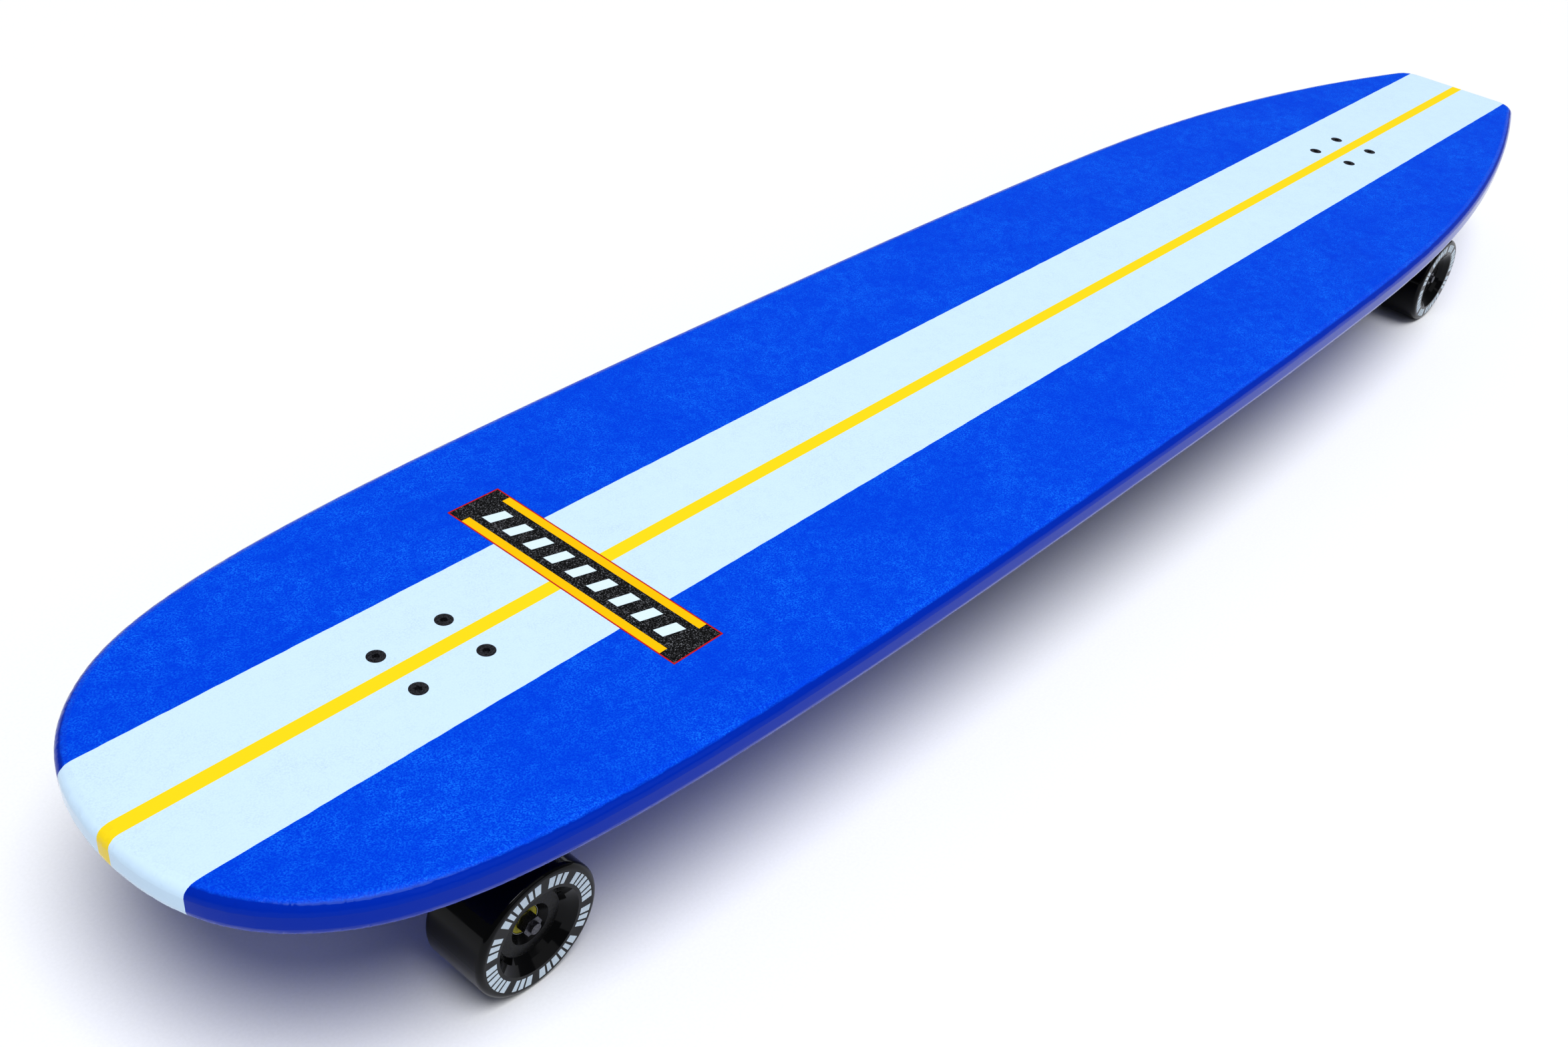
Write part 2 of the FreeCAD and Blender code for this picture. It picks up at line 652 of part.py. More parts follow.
def make_hanger(end):
    body = body_named(f"{end[0]}_hanger")
    reach = "-Dims.ring_reach"
    drop = "-Dims.rake"
    barrel = sketch_on(body, "XZ_Plane", "barrel")
    add_circle(barrel, reach, drop, "Dims.barrel_radius")
    pad(body, barrel, "Dims.hanger_width - 2 * Dims.shoulder_length", midplane=True)
    shoulder = sketch_on(body, "XZ_Plane", "shoulder")
    add_circle(shoulder, reach, drop, "Dims.shoulder_radius")
    pad(body, shoulder, "Dims.hanger_width", midplane=True)
    arm = sketch_on(body, "XZ_Plane", "arm")
    inside = "Dims.barrel_radius + Dims.arm_inset"
    add_polygon(arm, [("-Dims.ring_radius + Dims.arm_sunk", "Dims.ring_thick / 2"),
                      (f"{reach} - Dims.arm_back", "Dims.arm_high"), (f"{reach} - {inside}", drop),
                      (reach, f"{drop} - {inside}"),
                      ("-Dims.ring_radius + Dims.arm_foot", "-Dims.ring_thick / 2")])
    pad(body, arm, "Dims.arm_width", midplane=True)
    wing = sketch_on(body, "XY_Plane", "wing")
    start = "-Dims.bushing_radius - Dims.wing_start"
    fore = f"{reach} + Dims.wing_fore"
    aft = f"{reach} - Dims.wing_aft"
    add_polygon(wing, [(start, "Dims.arm_width / 2 - Dims.wing_step"),
                       (start, "-Dims.arm_width / 2 + Dims.wing_step"),
                       (fore, "-Dims.wing_width / 2"), (aft, "-Dims.wing_width / 2"),
                       (aft, "Dims.wing_width / 2"), (fore, "Dims.wing_width / 2")])
    pad(body, wing, "Dims.wing_thick", down=True)
    ring = sketch_on(body, "XY_Plane", "ring")
    add_circle(ring, "0", "0", "Dims.ring_radius")
    pad(body, ring, "Dims.ring_thick", midplane=True)
    nose = sketch_on(body, "XZ_Plane", "nose")
    root = f"{reach} + Dims.nose_sunk"
    thick = "Dims.nose_radius + Dims.nose_swell"
    tip = f"-{PIVOT} - Dims.nose_tip"
    add_polygon(nose, [(root, "0"), (root, thick), (f"{reach} - Dims.nose_collar", thick),
                       (f"{reach} - Dims.nose_neck", "Dims.nose_radius"),
                       (f"-{PIVOT} - Dims.nose_flat", "Dims.nose_radius"),
                       (tip, "Dims.nose_radius - Dims.nose_taper"), (tip, "0")])
    revolve(body, nose, axis="H_Axis")
    hole = sketch_on(body, "XY_Plane", "kingpin_hole")
    add_circle(hole, "0", "0", "Dims.ring_bore")
    cut_through(body, hole)
    bore = sketch_on(body, "XZ_Plane", "axle_bore")
    add_circle(bore, reach, drop, "Dims.axle_radius")
    cut_through(body, bore)
    place(body, *ring_spot(end, "0"))
    keep(body, body.Name)


def make_kingpins():
    head_low = f"({SEAT} + Dims.seat_wall)"
    low = f"-({SEAT} + Dims.kingpin_nut_thick + Dims.kingpin_past_nut)"
    body = turned("kingpin", [("0", low), ("Dims.kingpin_radius", low),
                              ("Dims.kingpin_radius", head_low), ("Dims.kingpin_head", head_low),
                              ("Dims.kingpin_head", f"{head_low} + Dims.kingpin_head_thick"),
                              ("0", f"{head_low} + Dims.kingpin_head_thick")])
    group("kingpins", body, [ring_spot(end, "0") for end in ENDS])


def make_kingpin_nuts():
    body = body_named("kingpin_nut")
    sketch = sketch_on(body, "XY_Plane", "outline")
    add_polygon(sketch, hexagon("Dims.kingpin_nut"))
    add_circle(sketch, "0", "0", "Dims.kingpin_radius")
    pad(body, sketch, "Dims.kingpin_nut_thick", down=True)
    group("kingpin_nuts", body, [ring_spot(end, f"-{SEAT}") for end in ENDS])


def make_bushing_washers():
    body = turned("bushing_washer", rectangle("Dims.kingpin_radius + Dims.kingpin_play",
                                              "Dims.washer_radius", "0", "Dims.washer_thick"))
    spots = []
    for end in ENDS:
        spots.append(ring_spot(end, f"{SEAT} - Dims.washer_thick"))
        spots.append(ring_spot(end, f"-{SEAT}"))
    group("bushing_washers", body, spots)


def make_bushing(end, which, sign):
    # A barrel bushing on the deck side and a cone on the road side, both a little waisted.
    bore = "Dims.kingpin_radius + Dims.kingpin_play"
    wide = "Dims.bushing_radius"
    narrow = f"{wide} - Dims.barrel_waist" if sign > 0 else f"{wide} - Dims.cone_waist"
    body = turned(f"{end[0]}_{which}_bushing", [
        (bore, "0"), (f"{wide} - Dims.bushing_edge", "0"), (wide, "Dims.bushing_band"),
        (narrow, "Dims.bushing_height - Dims.bushing_band"),
        (f"{narrow} - Dims.bushing_edge", "Dims.bushing_height"), (bore, "Dims.bushing_height")])
    if sign > 0:
        place(body, *ring_spot(end, "Dims.ring_thick / 2"))
    else:
        x, y, z, turns = ring_spot(end, "-Dims.ring_thick / 2")
        place(body, x, y, z, f"{turns} * rotation(vector(1;0;0); 180)")
    keep(body, body.Name)


def make_axle(end):
    axle = doc.addObject("Part::Cylinder", f"{end[0]}_axle")
    axle.setExpression("Radius", "Dims.axle_radius")
    axle.setExpression("Height", f"2 * {AXLE_END}")
    x, _, z, _ = wheel_spot(end, 1)
    place(axle, x, f"-{AXLE_END}", z, wheel_turns(1))
    keep(axle, axle.Name)


def make_axle_small_parts():
    nut = body_named("axle_nut")
    sketch = sketch_on(nut, "XY_Plane", "outline")
    add_polygon(sketch, hexagon("Dims.axle_nut"))
    add_circle(sketch, "0", "0", "Dims.axle_radius")
    pad(nut, sketch, "Dims.axle_nut_thick")
    shim = turned("speed_ring", rectangle("Dims.axle_radius", "Dims.ring_shim_radius",
                                          "0", "Dims.ring_shim"))
    spacer = turned("bearing_spacer", rectangle("Dims.axle_radius", "Dims.ring_shim_radius",
                                                "-Dims.bearing_gap / 2", "Dims.bearing_gap / 2"))
    beyond = "Dims.bearing_gap / 2 + Dims.bearing_width"
    for end in ENDS:
        group(f"{end[0]}_axle_nuts", nut,
              [wheel_spot(end, side, f"{beyond} + Dims.ring_shim") for _, side in SIDES])
        group(f"{end[0]}_speed_rings", shim,
              [wheel_spot(end, side, offset) for _, side in SIDES
               for offset in (beyond, f"-({beyond} + Dims.ring_shim)")])
        group(f"{end[0]}_bearing_spacers", spacer, [wheel_spot(end, side) for _, side in SIDES])


# ---- wheels ----

def make_tyre(name, spot):
    # Local +Z points out of the board. The face sinks from the lip towards the core.
    half = "Dims.wheel_width / 2"
    inset = f"({half} - Dims.wheel_dish)"
    rim = "Dims.wheel_radius"
    lip = "Dims.wheel_lip"
    brim = f"{rim} - {lip} - Dims.wheel_face"
    body = turned(name, [
        ("Dims.core_radius", "-Dims.core_width / 2"), ("Dims.core_radius", "Dims.core_width / 2"),
        ("Dims.wheel_mouth", inset), (brim, half), (rim, half), (rim, f"-{half}"),
        (brim, f"-{half}"), ("Dims.wheel_mouth", f"-{inset}")])
    edge_radius = value(rim)
    fillet_edges(body, lip, lambda e: abs(e.BoundBox.XMax - edge_radius) < TINY
                 and e.BoundBox.ZLength < TINY)
    place(body, *spot)
    keep(body, name)


def make_core(name, spot):
    half = "Dims.core_width / 2"
    seat = "Dims.bearing_gap / 2"
    pocket = "Dims.bearing_radius + Dims.bearing_seat_gap"
    face = f"({seat} + Dims.bearing_width + Dims.core_lead)"
    flare = "Dims.bearing_radius + Dims.core_flare"
    body = turned(name, [
        ("Dims.core_bore", f"-{seat}"), (pocket, f"-{seat}"), (pocket, f"-{face}"),
        (flare, f"-{half}"), ("Dims.core_radius", f"-{half}"), ("Dims.core_radius", half),
        (flare, half), (pocket, face), (pocket, seat), ("Dims.core_bore", seat)])
    place(body, *spot)
    keep(body, name)


def make_bearings(name, master, end, side):
    seat = "Dims.bearing_gap / 2"
    group(name, master, [wheel_spot(end, side, seat),
                         wheel_spot(end, side, f"-({seat} + Dims.bearing_width)")])


def make_wheels():
    bearing = turned("bearing", rectangle("Dims.axle_radius + Dims.bearing_play",
                                          "Dims.bearing_radius", "0", "Dims.bearing_width"))
    for end in ENDS:
        for side_name, side in SIDES:
            stem = f"{end[0]}_{side_name}"
            spot = wheel_spot(end, side)
            make_tyre(f"{stem}_tyre", spot)
            make_core(f"{stem}_core", spot)
            make_bearings(f"{stem}_bearings", bearing, end, side)


# ---- belt drive ----

def add_teeth(body, radius, count):
    # One groove, repeated round the pulley.
    sketch = sketch_on(body, "XY_Plane", "groove")
    add_polygon(sketch, rectangle(f"{radius} - Dims.tooth_deep", f"{radius} + Dims.flange_high / 4",
                                  "-Dims.tooth_wide / 2", "Dims.tooth_wide / 2"))
    groove = body.newObject("PartDesign::Pocket", f"{body.Name}_groove_cut")
    groove.Profile = sketch
    groove.setExpression("Length", f"2 * {PULLEY_HALF}")
    groove.Midplane = True
    doc.recompute()
    pattern = body.newObject("PartDesign::PolarPattern", f"{body.Name}_teeth")
    pattern.Originals = [groove]
    pattern.Axis = (sketch, ["N_Axis"])
    pattern.Angle = 360
    pattern.setExpression("Occurrences", count)
    body.Tip = pattern
    doc.recompute()


def flanged(radius, bore):
    half = PULLEY_HALF
    outer = f"{half} + Dims.flange_thick"
    high = f"{radius} + Dims.flange_high"
    return [(bore, f"-({outer})"), (high, f"-({outer})"), (high, f"-({half})"),
            (radius, f"-({half})"), (radius, half), (high, half), (high, outer), (bore, outer)]


def make_wheel_pulley(side_name, side):
    # The hub runs on into the wheel's inner recess, where it is bolted to the core.
    body = body_named(f"{side_name}_wheel_pulley")
    sketch = sketch_on(body, "XZ_Plane", "section")
    corners = flanged(WHEEL_PULLEY, "Dims.wheel_pulley_bore")
    outer = f"{PULLEY_HALF} + Dims.flange_thick"
    hub_end = f"({WHEEL_Y} - Dims.core_width / 2 - {BELT_Y})"
    hub = "Dims.core_radius - Dims.hub_step"
    add_polygon(sketch, corners[:-2] + [(f"{WHEEL_PULLEY} + Dims.flange_high", outer), (hub, outer),
                                        (hub, hub_end), ("Dims.wheel_pulley_bore", hub_end)])
    revolve(body, sketch)
    add_teeth(body, WHEEL_PULLEY, "Dims.wheel_teeth")
    place(body, REAR_AXLE_X, f"({side}) * {BELT_Y}", "Dims.wheel_radius", wheel_turns(side))
    keep(body, body.Name)


def make_motor_pulley(side_name, side):
    body = turned(f"{side_name}_motor_pulley", flanged(MOTOR_PULLEY, "Dims.motor_shaft"))
    add_teeth(body, MOTOR_PULLEY, "Dims.motor_teeth")
    place(body, MOTOR_X, f"({side}) * {BELT_Y}", "Dims.wheel_radius", wheel_turns(side))
    keep(body, body.Name)


def belt_loop(big, small, reach):
    # Two arcs joined by the two straight runs that touch both.
    lean = (big - small) / reach
    rise = (1 - lean * lean) ** 0.5
    top_big = FreeCAD.Vector(big * lean, big * rise, 0)
    top_small = FreeCAD.Vector(reach + small * lean, small * rise, 0)
    low_big = FreeCAD.Vector(top_big.x, -top_big.y, 0)
    low_small = FreeCAD.Vector(top_small.x, -top_small.y, 0)
    return Part.Wire([
        Part.Arc(low_big, FreeCAD.Vector(-big, 0, 0), top_big).toShape(),
        Part.LineSegment(top_big, top_small).toShape(),
        Part.Arc(top_small, FreeCAD.Vector(reach + small, 0, 0), low_small).toShape(),
        Part.LineSegment(low_small, low_big).toShape()])


def make_belt(side_name, side):
    reach = value(DRIVE_REACH)
    clear = value("Dims.belt_clearance")
    thick = value("Dims.belt_thick")
    wide = value("Dims.belt_width")
    big = value(WHEEL_PULLEY) + clear
    small = value(MOTOR_PULLEY) + clear
    outer = Part.Face(belt_loop(big + thick, small + thick, reach))
    inner = Part.Face(belt_loop(big, small, reach))
    solid = outer.cut(inner).extrude(FreeCAD.Vector(0, 0, wide))
    belt = doc.addObject("Part::Feature", f"{side_name}_belt")
    belt.Shape = solid
    place(belt, REAR_AXLE_X, f"({side}) * {BELT_Y} + Dims.belt_width / 2", "Dims.wheel_radius",
          "rotation(vector(1;0;0); 90)")
    keep(belt, belt.Name)


def motor_screw_places():
    # Four screws on a circle, from the motor's middle.
    return [(f"Dims.motor_screw_circle * cos({turn})", f"Dims.motor_screw_circle * sin({turn})")
            for turn in (45, 135, 225, 315)]


def make_motor_mount(side_name, side):
    # A plate that clamps the hanger's barrel and carries the motor's face.
    body = body_named(f"{side_name}_motor_mount")
    sketch = sketch_on(body, "XZ_Plane", "outline")
    tall = "Dims.mount_half_height"
    heel = "-Dims.barrel_radius - Dims.mount_heel"
    heel_high = f"{tall} - Dims.mount_heel_cut"
    crown = "-Dims.barrel_radius"
    brow = f"{DRIVE_REACH} + Dims.mount_brow"
    chin = f"{DRIVE_REACH} + Dims.motor_radius - Dims.mount_chin"
    chin_high = f"{tall} - Dims.mount_chin_cut"
    add_polygon(sketch, [(heel, f"-({heel_high})"), (heel, heel_high), (crown, tall), (brow, tall),
                         (chin, chin_high), (chin, f"-({chin_high})"), (brow, f"-{tall}"),
                         (crown, f"-{tall}")])
    add_circle(sketch, "0", "0", "Dims.barrel_radius + Dims.clamp_gap")
    add_circle(sketch, DRIVE_REACH, "0", "Dims.motor_shaft + Dims.shaft_room")
    for x, z in motor_screw_places():
        add_circle(sketch, f"{DRIVE_REACH} + {x}", z, "Dims.motor_screw_radius + Dims.screw_play")
    pad(body, sketch, "Dims.mount_thick", midplane=True)
    place(body, REAR_AXLE_X, f"({side}) * ({MOUNT_Y} + Dims.mount_thick / 2)", "Dims.wheel_radius")
    keep(body, body.Name)


def make_motor(side_name, side):
    # Local +Z points out of the board, and 0 is the mount's inner face.
    shaft = "Dims.motor_shaft"
    can = "Dims.motor_radius"
    back = "-Dims.motor_length"
    bore = f"{shaft} + Dims.stator_bore_gap"
    flange = f"{can} - Dims.stator_flange_in"
    neck = f"{shaft} + Dims.stator_neck"
    inside = f"{can} - Dims.can_wall"
    windings = f"{inside} - Dims.winding_gap"
    floor = f"{back} + Dims.can_floor"
    windings_back = f"{floor} + Dims.winding_back_gap"
    stator = turned(f"{side_name}_motor_stator", [
        (bore, "0"), (flange, "0"), (flange, "-Dims.stator_flange"),
        (neck, "-Dims.stator_neck_start"), (neck, "-Dims.winding_start"),
        (windings, "-Dims.winding_start"), (windings, windings_back), (bore, windings_back)])
    tip = f"({BELT_Y} + {PULLEY_HALF} + Dims.flange_thick - {MOUNT_Y})"
    rotor = turned(f"{side_name}_motor_can", [
        ("0", back), (inside, back), (can, f"{back} + Dims.can_wall"), (can, "-Dims.can_mouth"),
        (inside, "-Dims.can_mouth"), (inside, floor), (shaft, floor), (shaft, tip), ("0", tip)])
    for motor in (stator, rotor):
        place(motor, MOTOR_X, f"({side}) * {MOUNT_Y}", "Dims.wheel_radius", wheel_turns(side))
        keep(motor, motor.Name)


def make_motor_screws():
    high = "Dims.motor_screw_head_high"
    body = turned("motor_screw", [
        ("0", high), ("Dims.motor_screw_head", high), ("Dims.motor_screw_head", "0"),
        ("Dims.motor_screw_radius", "0"), ("Dims.motor_screw_radius", "-Dims.mount_thick"),
        ("0", "-Dims.mount_thick")])
    spots = [(f"{MOTOR_X} + {x}", f"({side}) * ({MOUNT_Y} + Dims.mount_thick)",
              f"Dims.wheel_radius + {z}", wheel_turns(side))
             for _, side in SIDES for x, z in motor_screw_places()]
    group("motor_screws", body, spots)


# ---- battery and controller case ----

def add_box(body, length, width, height, down=False):
    sketch = sketch_on(body, "XY_Plane", "box")
    add_polygon(sketch, rectangle(f"-{length} / 2", f"{length} / 2", f"-{width} / 2", f"{width} / 2"))
    pad(body, sketch, height, down=down)


def case_rim():
    return octagon("(Dims.case_length / 2 + Dims.case_lip)", "(Dims.case_width / 2 + Dims.case_lip)",
                   "Dims.case_corner")


def make_case():
    body = body_named("case_shell")
    add_box(body, "Dims.case_length", "Dims.case_width", "Dims.case_depth", down=True)
    fillet_edges(body, "Dims.case_corner", upright)
    lip = sketch_on(body, "XY_Plane", "lip")
    add_polygon(lip, case_rim())
    for x, y in case_screws():
        add_circle(lip, x, y, "Dims.case_screw_radius + Dims.screw_play")
    pad(body, lip, "Dims.case_wall", down=True)
    hollow = sketch_on(body, "XY_Plane", "hollow")
    add_polygon(hollow, octagon("(Dims.case_length / 2 - Dims.case_wall)",
                                "(Dims.case_width / 2 - Dims.case_wall)", "Dims.case_inner_corner"))
    cut_deep(body, hollow, "Dims.case_depth - Dims.case_wall")
    for name, x, radius in (("port_hole", PORT_X, "Dims.port_radius"),
                            ("button_hole", BUTTON_X, "Dims.button_radius + Dims.button_play")):
        hole = sketch_on(body, "XZ_Plane", name)
        add_circle(hole, x, "-Dims.case_depth / 2", radius)
        cut_through(body, hole, both_ways=False, back=True)
    glands = sketch_on(body, "YZ_Plane", "gland_holes")
    for _, side in SIDES:
        add_circle(glands, f"({side}) * Dims.gland_offset", "-Dims.case_depth / 2",
                   "Dims.gland_radius - Dims.gland_shoulder")
    cut_through(body, glands, both_ways=False)
    place(body, "Dims.case_centre", "0", CASE_TOP)
    keep(body, "case_shell")


def case_screws():
    # Eight along the long edges, evenly spread, and two at each end.
    x = "(Dims.case_length / 2 + Dims.case_lip / 2)"
    y = "(Dims.case_width / 2 + Dims.case_lip / 2)"
    long_rows = [(f"({i}) * ({x} - Dims.case_corner) / 3", f"({j}) * {y}")
                 for i in (-3, -1, 1, 3) for j in (-1, 1)]
    ends = [(f"({i}) * {x}", f"({j}) * Dims.end_screw_offset") for i in (-1, 1) for j in (-1, 1)]
    return long_rows + ends


def make_gasket():
    body = body_named("case_gasket")
    sketch = sketch_on(body, "XY_Plane", "outline")
    add_polygon(sketch, case_rim())
    inner_x = "Dims.case_length / 2 - Dims.case_wall - Dims.gasket_inset"
    inner_y = "Dims.case_width / 2 - Dims.case_wall - Dims.gasket_inset"
    add_polygon(sketch, rectangle(f"-({inner_x})", inner_x, f"-({inner_y})", inner_y))
    for x, y in case_screws():
        add_circle(sketch, x, y, "Dims.case_screw_radius + Dims.screw_play")
    pad(body, sketch, "Dims.gasket_thick")
    place(body, "Dims.case_centre", "0", CASE_TOP)
    keep(body, "case_gasket")


def make_case_screws():
    top = "Dims.case_wall + Dims.gasket_thick"
    low = "-Dims.case_screw_head_high"
    body = turned("case_screw", [
        ("0", low), ("Dims.case_screw_head - Dims.case_screw_head_edge", low),
        ("Dims.case_screw_head", "0"),
        ("Dims.case_screw_radius", "0"), ("Dims.case_screw_radius", top), ("0", top)])
    spots = [(f"Dims.case_centre + {x}", y, f"{CASE_TOP} - Dims.case_wall") for x, y in case_screws()]
    group("case_screws", body, spots)


def make_battery():
    body = body_named("battery_pack")
    add_box(body, "Dims.battery_length", "Dims.battery_width", "Dims.battery_height")
    fillet_edges(body, "Dims.battery_corner", upright)
    x = ("Dims.case_centre + Dims.case_length / 2 - Dims.case_wall - Dims.gasket_inset"
         " - Dims.battery_length / 2 - Dims.inner_gap")
    place(body, x, "0", f"{CASE_FLOOR} + Dims.case_wall")
    keep(body, "battery_pack")


def make_controller():
    # A finned heat sink on top of the controller's box.
    body = body_named("motor_controller")
    add_box(body, "Dims.controller_length", "Dims.controller_width", "Dims.controller_height")
    fins = sketch_on(body, "YZ_Plane", "fins")
    for i in range(-4, 5):
        middle = f"({i}) * Dims.fin_pitch"
        add_polygon(fins, rectangle(f"{middle} - Dims.fin_groove / 2", f"{middle} + Dims.fin_groove / 2",
                                    "Dims.controller_height - Dims.fin_deep", OVERCUT))
    cut_through(body, fins)
    x = ("Dims.case_centre - Dims.case_length / 2 + Dims.case_wall + Dims.inner_gap"
         " + Dims.controller_set + Dims.controller_length / 2")
    place(body, x, "0", f"{CASE_FLOOR} + Dims.case_wall")
    keep(body, "motor_controller")


def case_side(x):
    # A place on the case's right wall, with local +Z pointing out of it.
    return (f"Dims.case_centre + {x}", "-Dims.case_width / 2", f"{CASE_TOP} - Dims.case_depth / 2",
            "rotation(vector(1;0;0); 90)")


def make_charge_port():
    # A socket with a rim, a foot below it and two ears that carry the cap's hinge pin.
    rim = "Dims.port_radius + Dims.port_rim"
    back = "-Dims.port_depth"
    body = turned("charge_port", [
        ("Dims.port_bore", "Dims.port_rim_thick"), (rim, "Dims.port_rim_thick"), (rim, "0"),
        ("Dims.port_radius", "0"), ("Dims.port_radius", back), ("0", back),
        ("0", f"{back} + Dims.port_floor"), ("Dims.port_bore", f"{back} + Dims.port_floor")])
    low = "-Dims.cap_hinge_drop - Dims.cap_barrel_radius"
    high = "-Dims.cap_hinge_drop + Dims.cap_barrel_radius"
    foot = sketch_on(body, "XY_Plane", "foot")
    add_polygon(foot, rectangle(f"-{EAR_OUT}", EAR_OUT, low, "-Dims.port_foot_start"))
    pad(body, foot, "Dims.port_rim_thick")
    for side in (-1, 1):
        ear = sketch_on(body, "XY_Plane", f"ear_{side + 1}")
        inner = f"({side}) * ({EAR_OUT} - Dims.ear_thick)"
        outer = f"({side}) * {EAR_OUT}"
        add_polygon(ear, rectangle(inner, outer, low, high))
        pad(body, ear, f"{HINGE_HIGH} + Dims.cap_barrel_radius")
    top = value(f"{HINGE_HIGH} + Dims.cap_barrel_radius")
    fillet_edges(body, "Dims.ear_round", lambda e: e.BoundBox.YLength < TINY
                 and abs(e.BoundBox.ZMin - top) < TINY)
    pin = sketch_on(body, "YZ_Plane", "pin")
    add_circle(pin, "-Dims.cap_hinge_drop", HINGE_HIGH, "Dims.hinge_pin_radius")
    pad(body, pin, f"2 * {EAR_OUT} - Dims.ear_thick", midplane=True)
    place(body, *case_side(PORT_X))
    keep(body, "charge_port")


def make_charge_cap():
    # A lid over the port's mouth, and a tab that ends in a bored barrel on the hinge pin.
    body = body_named("charge_cap")
    lid = sketch_on(body, "XY_Plane", "lid")
    add_circle(lid, "0", "0", "Dims.port_radius + Dims.cap_overlap")
    pad(body, lid, "Dims.cap_thick")
    tab = sketch_on(body, "XY_Plane", "tab")
    add_polygon(tab, rectangle("-Dims.cap_tab / 2", "Dims.cap_tab / 2", "-Dims.cap_hinge_drop", "0"))
    pad(body, tab, "Dims.cap_thick")
    barrel = sketch_on(body, "YZ_Plane", "barrel")
    add_circle(barrel, "-Dims.cap_hinge_drop", "Dims.cap_thick / 2", "Dims.cap_barrel_radius")
    pad(body, barrel, "Dims.cap_tab", midplane=True)
    bore = sketch_on(body, "YZ_Plane", "pin_bore")
    add_circle(bore, "-Dims.cap_hinge_drop", "Dims.cap_thick / 2",
               "Dims.hinge_pin_radius + Dims.hinge_pin_play")
    cut_through(body, bore)
    x, y, z, turns = case_side(PORT_X)
    place(body, x, f"{y} - Dims.port_rim_thick - Dims.cap_gap", z, turns)
    keep(body, "charge_cap")


def make_power_button():
    top = "(Dims.button_travel + Dims.button_proud)"
    edge = "Dims.button_edge"
    low = "-Dims.case_wall - Dims.button_tail"
    body = turned("power_button", [
        ("0", top), (f"Dims.button_radius - {edge}", top), ("Dims.button_radius", f"{top} - {edge}"),
        ("Dims.button_radius", low), ("0", low)])
    place(body, *case_side(BUTTON_X))
    keep(body, "power_button")


def make_cable_glands():
    shoulder = "Dims.gland_radius - Dims.gland_shoulder"
    body = turned("cable_gland", [
        ("Dims.cable_radius", "-Dims.gland_tail"), (shoulder, "-Dims.gland_tail"), (shoulder, "0"),
        ("Dims.gland_radius", "0"), ("Dims.gland_radius", "Dims.gland_collar"),
        ("Dims.gland_radius - Dims.gland_taper", "Dims.gland_length"),
        ("Dims.cable_radius", "Dims.gland_length")])
    spots = [("Dims.case_centre - Dims.case_length / 2", f"({side}) * Dims.gland_offset",
              f"{CASE_TOP} - Dims.case_depth / 2", "rotation(vector(0;1;0); -90)")
             for _, side in SIDES]
    group("cable_glands", body, spots)


def make_trucks():
    for end in ENDS:
        make_baseplate(end)
        make_hanger(end)
        make_bushing(end, "deck_side", 1)
        make_bushing(end, "road_side", -1)
        make_axle(end)
    make_pivot_cups()
    make_kingpins()
    make_kingpin_nuts()
    make_bushing_washers()
    make_axle_small_parts()


def make_drive():
    for side_name, side in SIDES:
        make_wheel_pulley(side_name, side)
        make_motor_pulley(side_name, side)
        make_belt(side_name, side)
        make_motor_mount(side_name, side)
        make_motor(side_name, side)
    make_motor_screws()


def make_electrics():
    make_case()
    make_gasket()
    make_case_screws()
    make_battery()
    make_controller()
    make_charge_port()
    make_charge_cap()
    make_power_button()
    make_cable_glands()


def check_and_write():
    doc.recompute()
    for item in doc.Objects:
        if {"Invalid", "Error"} & set(item.State):
            raise RuntimeError(f"{item.Label} failed: {item.State}")
    os.makedirs("parts", exist_ok=True)
    for piece in PARTS:
        if piece.Shape.isNull() or not piece.Shape.isValid():
            raise RuntimeError(f"{piece.Label} has no valid shape")
    for piece in PARTS:
        piece.Shape.exportStep(os.path.join("parts", f"{piece.Label}.step"))
    print(len(PARTS), "nodes written")


make_deck()
make_panel()
make_risers()
make_deck_bolts()
make_deck_nuts()
make_trucks()
make_wheels()
make_drive()
make_electrics()
check_and_write()
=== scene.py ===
import bpy
import bmesh
import math
from mathutils import Matrix, Vector


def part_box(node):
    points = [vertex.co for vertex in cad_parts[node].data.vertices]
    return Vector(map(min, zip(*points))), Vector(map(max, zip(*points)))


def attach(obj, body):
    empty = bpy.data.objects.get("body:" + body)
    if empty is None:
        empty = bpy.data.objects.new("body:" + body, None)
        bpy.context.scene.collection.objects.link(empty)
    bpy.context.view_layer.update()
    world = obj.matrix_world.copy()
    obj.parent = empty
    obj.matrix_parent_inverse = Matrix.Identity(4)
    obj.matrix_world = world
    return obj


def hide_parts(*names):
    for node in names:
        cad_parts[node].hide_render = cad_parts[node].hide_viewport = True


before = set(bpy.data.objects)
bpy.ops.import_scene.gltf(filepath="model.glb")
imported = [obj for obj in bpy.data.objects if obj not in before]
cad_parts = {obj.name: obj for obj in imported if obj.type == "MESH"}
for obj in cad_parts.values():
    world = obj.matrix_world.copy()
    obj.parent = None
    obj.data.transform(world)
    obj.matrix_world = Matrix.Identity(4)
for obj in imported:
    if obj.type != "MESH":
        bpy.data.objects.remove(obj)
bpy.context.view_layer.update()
print("frame loaded:", len(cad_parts), "CAD nodes")

mm = 0.001
ends = ("front", "rear")
sides = ("left", "right")

# noise mostly stays between these, so a colour or roughness ramp uses its whole swing
noiseSwing = {"colour": (0.35, 0.65), "rough": (0.3, 0.7)}


def linear(hexText):
    # sRGB hex to the linear colour that shaders take
    parts = [int(hexText[i:i + 2], 16) / 255 for i in (1, 3, 5)]
    return [p / 12.92 if p <= 0.04045 else ((p + 0.055) / 1.055) ** 2.4 for p in parts] + [1.0]


